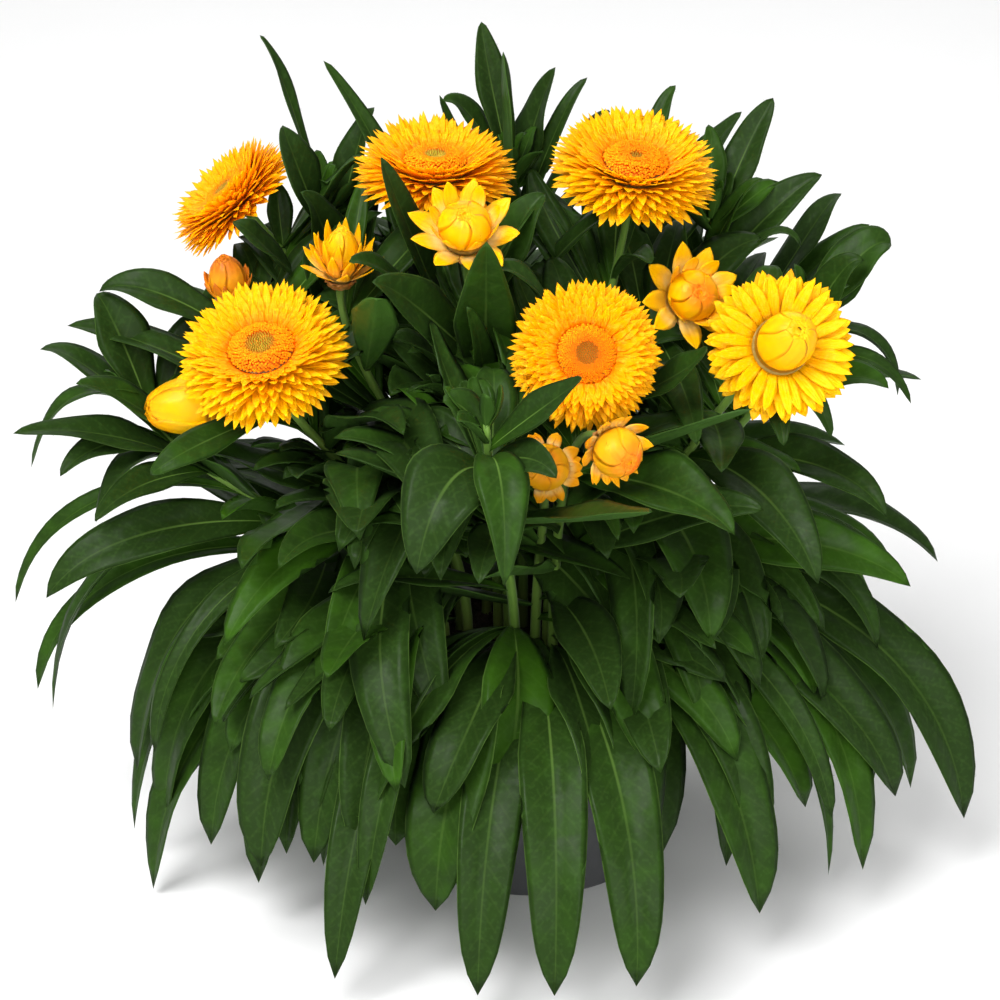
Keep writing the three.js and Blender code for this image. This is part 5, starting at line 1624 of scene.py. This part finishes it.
class STRAWFLOWER_OT_pot(Operator):
    """Turn the nursery pot, with its rolled rim and drain holes"""

    bl_idname = "strawflower.pot"
    bl_label = "Pot"

    def execute(self, context):
        settings = context.scene.strawflower_pot
        top, rim = settings.height / MM, settings.rim_radius / MM
        shape = Shape()
        lathe(self.profile(top, rim), 128, (0, 0, 1, 0, 0, 0.5), shape)
        pot = shape.piece("nursery_pot", [pot_finish(settings)])
        self.drill(context, pot)
        rides(pot, "pot_plastic", "pot")
        return {"FINISHED"}

    def profile(self, top, rim):
        """From the middle of the underside up the outside, over the rim, and down the inside to the floor."""
        foot = top - RIM_HEIGHT
        slope = (POT_TOP_RADIUS - POT_BASE_RADIUS) / top

        def wall(z):
            return POT_BASE_RADIUS + slope * z

        outside = [(0.5, 0.7), (38, 0.7), (39, 0.1), (POT_BASE_RADIUS - 1.2, 0), (POT_BASE_RADIUS - 0.3, 0.4),
                   (wall(1.4), 1.4), (wall(30), 30), (wall(60), 60), (wall(foot - 7), foot - 7),
                   (wall(foot - 6.6) + 0.35, foot - 6.6), (wall(foot - 4.6) + 0.35, foot - 4.6),
                   (wall(foot - 4.2), foot - 4.2), (wall(foot - 0.3), foot - 0.3), (rim - 1.1, foot),
                   (rim - 0.6, foot + 0.5), (rim - 0.2, foot + 4.5), (rim, top - 1.6), (rim - 0.2, top - 0.5),
                   (rim - 0.9, top), (POT_TOP_RADIUS - POT_WALL + 0.5, top)]
        inside = [(POT_TOP_RADIUS - POT_WALL, top - 0.5), (wall(foot) - POT_WALL, foot),
                  (wall(POT_FLOOR + 2) - POT_WALL, POT_FLOOR + 2),
                  (wall(POT_FLOOR) - POT_WALL - 1.6, POT_FLOOR), (0.5, POT_FLOOR)]
        return outside + inside

    def drill(self, context, pot):
        """Cut the drain holes through the floor."""
        cutter = Shape()
        for i in range(DRAIN_COUNT):
            angle = 2 * math.pi * i / DRAIN_COUNT
            plug = Shape()
            lathe([(DRAIN_RADIUS, -1), (DRAIN_RADIUS, POT_FLOOR + 1)], 32, (0, 0, 1, 0, 0, 0), plug)
            plug.place(np.eye(3), np.array([math.cos(angle), math.sin(angle), 0]) * DRAIN_CIRCLE)
            cutter.add(plug.points[0], plug.faces, (0, 0, 1, 0, 0, 0))
        holes = cutter.piece("drain_holes", [])
        cut = pot.modifiers.new("drain holes", "BOOLEAN")
        cut.operation = "DIFFERENCE"
        cut.solver = "EXACT"
        cut.object = holes
        graph = context.evaluated_depsgraph_get()
        mesh = bpy.data.meshes.new_from_object(pot.evaluated_get(graph))
        pot.modifiers.clear()
        pot.data = mesh
        bpy.data.objects.remove(holes)
        if len(mesh.polygons) < 1000:
            raise RuntimeError("the drain holes could not be cut")


class STRAWFLOWER_OT_soil(Operator):
    """Fill the pot with crumbly soil"""

    bl_idname = "strawflower.soil"
    bl_label = "Soil"

    def execute(self, context):
        settings = context.scene.strawflower_soil
        draw = random.Random(SOIL_SEED)
        shape = Shape()
        self.bed(shape)
        for _ in range(settings.crumbs):
            angle, out = draw.uniform(0, 6.28), 57 * math.sqrt(draw.random())
            self.crumb(shape, out * math.cos(angle), out * math.sin(angle), draw)
        soil = shape.piece("potting_soil", [soil_finish(settings)])
        rides(soil, "potting_soil", "soil")
        return {"FINISHED"}

    def surface(self, x, y):
        """Height of the soil at a place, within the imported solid's."""
        coarse = noise.noise(Vector((x * 0.05, y * 0.05, 3.0)))
        fine = noise.noise(Vector((x * 0.22, y * 0.22, 9.0)))
        return SOIL_TOP - 0.4 + 1.0 * coarse + 0.7 * fine

    def bed(self, shape):
        sides, rings = 96, 26
        angle = round_angles(sides)
        low, high = POT_FLOOR + GAP, SOIL_TOP - 2

        def wall(z):
            slope = (POT_TOP_RADIUS - POT_BASE_RADIUS) / POT_HEIGHT
            return POT_BASE_RADIUS - POT_WALL - GAP - 0.3 + slope * z

        side = ((0.5, low), (wall(low) - 1.8, low), (wall(low + 2), low + 2), (wall(high), high))
        levels = [np.stack([r * np.cos(angle), r * np.sin(angle), np.full(sides, z)], axis=1) for r, z in side]
        for i in range(rings):
            radius = wall(high) * (1 - (i + 0.3) / rings)
            xs, ys = radius * np.cos(angle), radius * np.sin(angle)
            zs = np.array([self.surface(x, y) for x, y in zip(xs, ys)])
            levels.append(np.stack([xs, ys, zs], axis=1))
        shape.add(np.array(levels), loft_faces(len(levels), sides, False), (0, 0, 1, 0, 0, 0.5))

    def crumb(self, shape, x, y, draw):
        size_here = draw.uniform(0.5, 1.7)
        stretch = (draw.uniform(0.7, 1.5), draw.uniform(0.7, 1.2), draw.uniform(0.5, 0.9))
        rings, sides = 4, 7
        offset = Vector((draw.uniform(0, 50), draw.uniform(0, 50), 0))
        centre = np.array([x, y, min(self.surface(x, y), SOIL_TOP + 0.3)])
        points = []
        for i in range(rings):
            tilt = math.pi * (i + 0.6) / (rings + 0.2)
            for j in range(sides):
                spin = 2 * math.pi * j / sides
                out = math.sin(tilt)
                way = Vector((out * math.cos(spin), out * math.sin(spin), -math.cos(tilt)))
                rough = 1 + 0.5 * noise.noise(way * 1.7 + offset)
                points.append(centre + np.array(way) * stretch * rough * size_here)
        shape.add(points, loft_faces(rings, sides, False), (0, 0, 1, 0, 0, draw.random()))


class STRAWFLOWER_OT_stems(Operator):
    """Grow the leafy stems and shoots"""

    bl_idname = "strawflower.stems"
    bl_label = "Leafy stems"

    def execute(self, context):
        settings = context.scene.strawflower_leaves
        stems = plan_stems()
        heads = head_places(stems)
        found = planned_leaves(stems)
        skirt = skirt_leaves(stems, heads, settings.skirt, random.Random(SKIRT_SEED))
        materials = [leaf_finish(settings), stem_finish(settings)]
        for number, stem in enumerate(stems):
            draw = random.Random(STEM_SEED + number)
            shape = Shape()
            grow_stem(shape, stem, settings, draw)
            leaves = found[stem["name"]]
            if not leaves:
                raise RuntimeError(f"no leaf of {stem['name']} was found on its solid")
            for leaf in leaves:
                detail = BROAD_DETAIL if leaf["width"] > 12 else NARROW_DETAIL
                grow_leaf(shape, leaf, settings, draw, detail, tone_with_painted_light(leaf, draw))
                if leaf["root"][2] - leaf["tip"][2] > 25 and leaf["width"] > 13:
                    for near in neighbours(leaf, heads, draw):
                        grow_leaf(shape, near, settings, draw, NEIGHBOUR_DETAIL, tone_with_painted_light(near, draw))
            for leaf in skirt[stem["name"]]:
                grow_leaf(shape, leaf, settings, draw, SKIRT_DETAIL, tone_with_painted_light(leaf, draw))
            for leaf in fuller_leaves(stem):
                grow_leaf(shape, leaf, settings, draw, FULLER_DETAIL, tone_with_painted_light(leaf, draw))
            for leaf in young_leaves(stem, heads, settings.young, draw):
                grow_leaf(shape, leaf, settings, draw, YOUNG_DETAIL, tone_with_painted_light(leaf, draw))
            if not stem["head"]:
                for leaf in tip_leaves(stem, heads, draw):
                    grow_leaf(shape, leaf, settings, draw, TIP_DETAIL, 0.4)
            piece = shape.piece(stem["name"].replace("leafy", "grown"), materials)
            rides(piece, "leaf_and_stem", stem["name"])
        return {"FINISHED"}


def head_places(stems):
    """Centre, facing, reach and name of each head, in millimetres."""
    places = []
    for stem in stems:
        if stem["head"]:
            kind, scale = HEADS[stem["head"]]
            reach = max(layer[0][0] for layer in KINDS[kind]["layers"]) * scale
            places.append((stem["centre"], stem["facing"], reach, stem["head"]))
    return places


def heads_to_make(blooms, seed):
    """Name, kind, scale, centre, facing and draw of each bloom, or of each bud."""
    for number, (centre, facing, _, name) in enumerate(head_places(plan_stems())):
        kind, scale = HEADS[name]
        if (kind in BLOOM_KINDS) == blooms:
            yield name, kind, scale, centre, facing, random.Random(seed + number)


class STRAWFLOWER_OT_blooms(Operator):
    """Make the papery bracts of each open bloom"""

    bl_idname = "strawflower.blooms"
    bl_label = "Blooms"

    def execute(self, context):
        settings = context.scene.strawflower_blooms
        materials = [bract_finish(settings), scale_finish(context.scene.strawflower_buds)]
        for name, kind, scale, centre, facing, draw in heads_to_make(True, BLOOM_SEED):
            shape = Shape()
            thickness, tone = settings.thickness / MM, BLOOM_TONES[name]
            if kind == "open":
                tones = (tone, tone + 0.1, 1.0)
                spreading_bracts(shape, kind, settings.rows, settings.bracts, 2.0, draw, thickness, tones)
            else:
                tones = (tone, tone, tone + 0.2)
                spreading_bracts(shape, kind, 4, 26, 3.3, draw, thickness, tones)
            receptacle(shape, kind, 1)
            scales(shape, kind, 3, draw, thickness, 1)
            shape.place(turn_to(facing) * scale, centre)
            piece = shape.piece(f"{name}_papery_bracts", materials)
            rides(piece, "yellow_bracts", f"{name}_bracts")
        return {"FINISHED"}


class STRAWFLOWER_OT_florets(Operator):
    """Fill each open bloom with its florets, or with the closed bracts of a younger one"""

    bl_idname = "strawflower.florets"
    bl_label = "Florets"

    def execute(self, context):
        settings = context.scene.strawflower_blooms
        floret = floret_finish(settings)
        closed = bud_finish(context.scene.strawflower_buds)
        for name, kind, scale, centre, facing, draw in heads_to_make(True, FLORET_SEED):
            shape = Shape()
            if kind == "open":
                florets(shape, kind, settings.florets, *MIDDLES[name], draw)
            else:
                profile = KINDS[kind]["centre"]
                # The core under the folded bracts has along 0.03, so it is painted with the dark band of their
                # foot: painted shade in the gaps between them
                core = covered_core(profile, [(0.4, 0.2), (10.3, 0.9), (profile[0][0] * 0.92, 1.2)])
                lathe(core, 24, (0, 0.03, 1, -0.3, 0.1, 0.5), shape)
                folded_bracts(shape, profile, 3, 6, draw, settings.thickness / MM, 0.15, -0.12, 0.6)
            turn = turn_to(facing)
            if kind == "closed":
                slant = np.eye(3)
                slant[:2, 2] = (turn.T @ unit(CLOSED_LEAN))[:2] * CLOSED_SLANT
                turn = turn @ slant
            shape.place(turn * scale, centre)
            piece = shape.piece(f"{name}_florets", [floret if kind == "open" else closed])
            rides(piece, "orange_florets", f"{name}_centre")
        return {"FINISHED"}


class STRAWFLOWER_OT_buds(Operator):
    """Make the buds and half-open heads"""

    bl_idname = "strawflower.buds"
    bl_label = "Buds"

    # Rows of spreading bracts, bracts in a row, and half their width
    ROWS = {
        "star": (2, 9, 3.5),
        "cone": (2, 9, 2.7),
        "small": (2, 7, 2.4),
        "tulip": (3, 9, 2.6),
        "dome": (2, 10, 2.6),
    }

    def execute(self, context):
        settings = context.scene.strawflower_buds
        thickness = context.scene.strawflower_blooms.thickness / MM
        materials = [bud_finish(settings), scale_finish(settings)]
        for name, kind, scale, centre, facing, draw in heads_to_make(False, BUD_SEED):
            tone, pale, blush = BUD_TONES[name]
            shape = Shape()
            rows, count, half = self.ROWS[kind]
            spreading_bracts(shape, kind, rows, count, half, draw, thickness, (tone, tone, tone), pale)
            crown = KINDS[kind]["crown"]
            foot_radius, foot_height = crown[0]
            core = covered_core(crown, [(0.3, foot_height - 1), (foot_radius * 0.9, foot_height - 0.8)])
            lathe(core, 24, (0, 0.5, 1, -blush, tone, 0.5), shape)
            folded_bracts(shape, crown, 3, 5, draw, thickness, tone, -blush)
            receptacle(shape, kind, 1)
            scales(shape, kind, 3, draw, thickness, 1)
            shape.place(turn_to(facing) * scale, centre)
            piece = shape.piece(f"{name}_bracts_and_crown", materials)
            rides(piece, "golden_buds", name)
        return {"FINISHED"}


class VIEW3D_PT_strawflower(Panel):
    """Buttons and settings of the potted strawflower"""

    bl_idname = "VIEW3D_PT_strawflower"
    bl_label = "Strawflower"
    bl_space_type = "VIEW_3D"
    bl_region_type = "UI"
    bl_category = "Strawflower"

    def draw(self, context):
        for operator, group in STEPS:
            box = self.layout.box()
            box.operator(operator.bl_idname)
            if group:
                settings = getattr(context.scene, group)
                for name in settings.__annotations__:
                    box.prop(settings, name)


STEPS = (
    (STRAWFLOWER_OT_stage, "strawflower_stage"),
    (STRAWFLOWER_OT_pot, "strawflower_pot"),
    (STRAWFLOWER_OT_soil, "strawflower_soil"),
    (STRAWFLOWER_OT_stems, "strawflower_leaves"),
    (STRAWFLOWER_OT_blooms, "strawflower_blooms"),
    (STRAWFLOWER_OT_florets, None),
    (STRAWFLOWER_OT_buds, "strawflower_buds"),
)

GROUPS = {
    "strawflower_pot": PotSettings,
    "strawflower_soil": SoilSettings,
    "strawflower_leaves": LeafSettings,
    "strawflower_blooms": BloomSettings,
    "strawflower_buds": BudSettings,
    "strawflower_stage": StageSettings,
}


def register():
    for group in GROUPS.values():
        bpy.utils.register_class(group)
    for operator, _ in STEPS:
        bpy.utils.register_class(operator)
    bpy.utils.register_class(VIEW3D_PT_strawflower)
    for name, group in GROUPS.items():
        setattr(bpy.types.Scene, name, PointerProperty(type=group))


def unregister():
    for name in GROUPS:
        delattr(bpy.types.Scene, name)
    bpy.utils.unregister_class(VIEW3D_PT_strawflower)
    for operator, _ in reversed(STEPS):
        bpy.utils.unregister_class(operator)
    for group in reversed(GROUPS.values()):
        bpy.utils.unregister_class(group)


def main():
    register()
    bpy.ops.strawflower.stage()
    bpy.ops.strawflower.pot()
    bpy.ops.strawflower.soil()
    bpy.ops.strawflower.stems()
    bpy.ops.strawflower.blooms()
    bpy.ops.strawflower.florets()
    bpy.ops.strawflower.buds()
    boxes = {"cad": CAD_BOX, "visual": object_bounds()}
    {name: [list(corner) for corner in box] for name, box in boxes.items()}


if __name__ == "__main__":
    main()
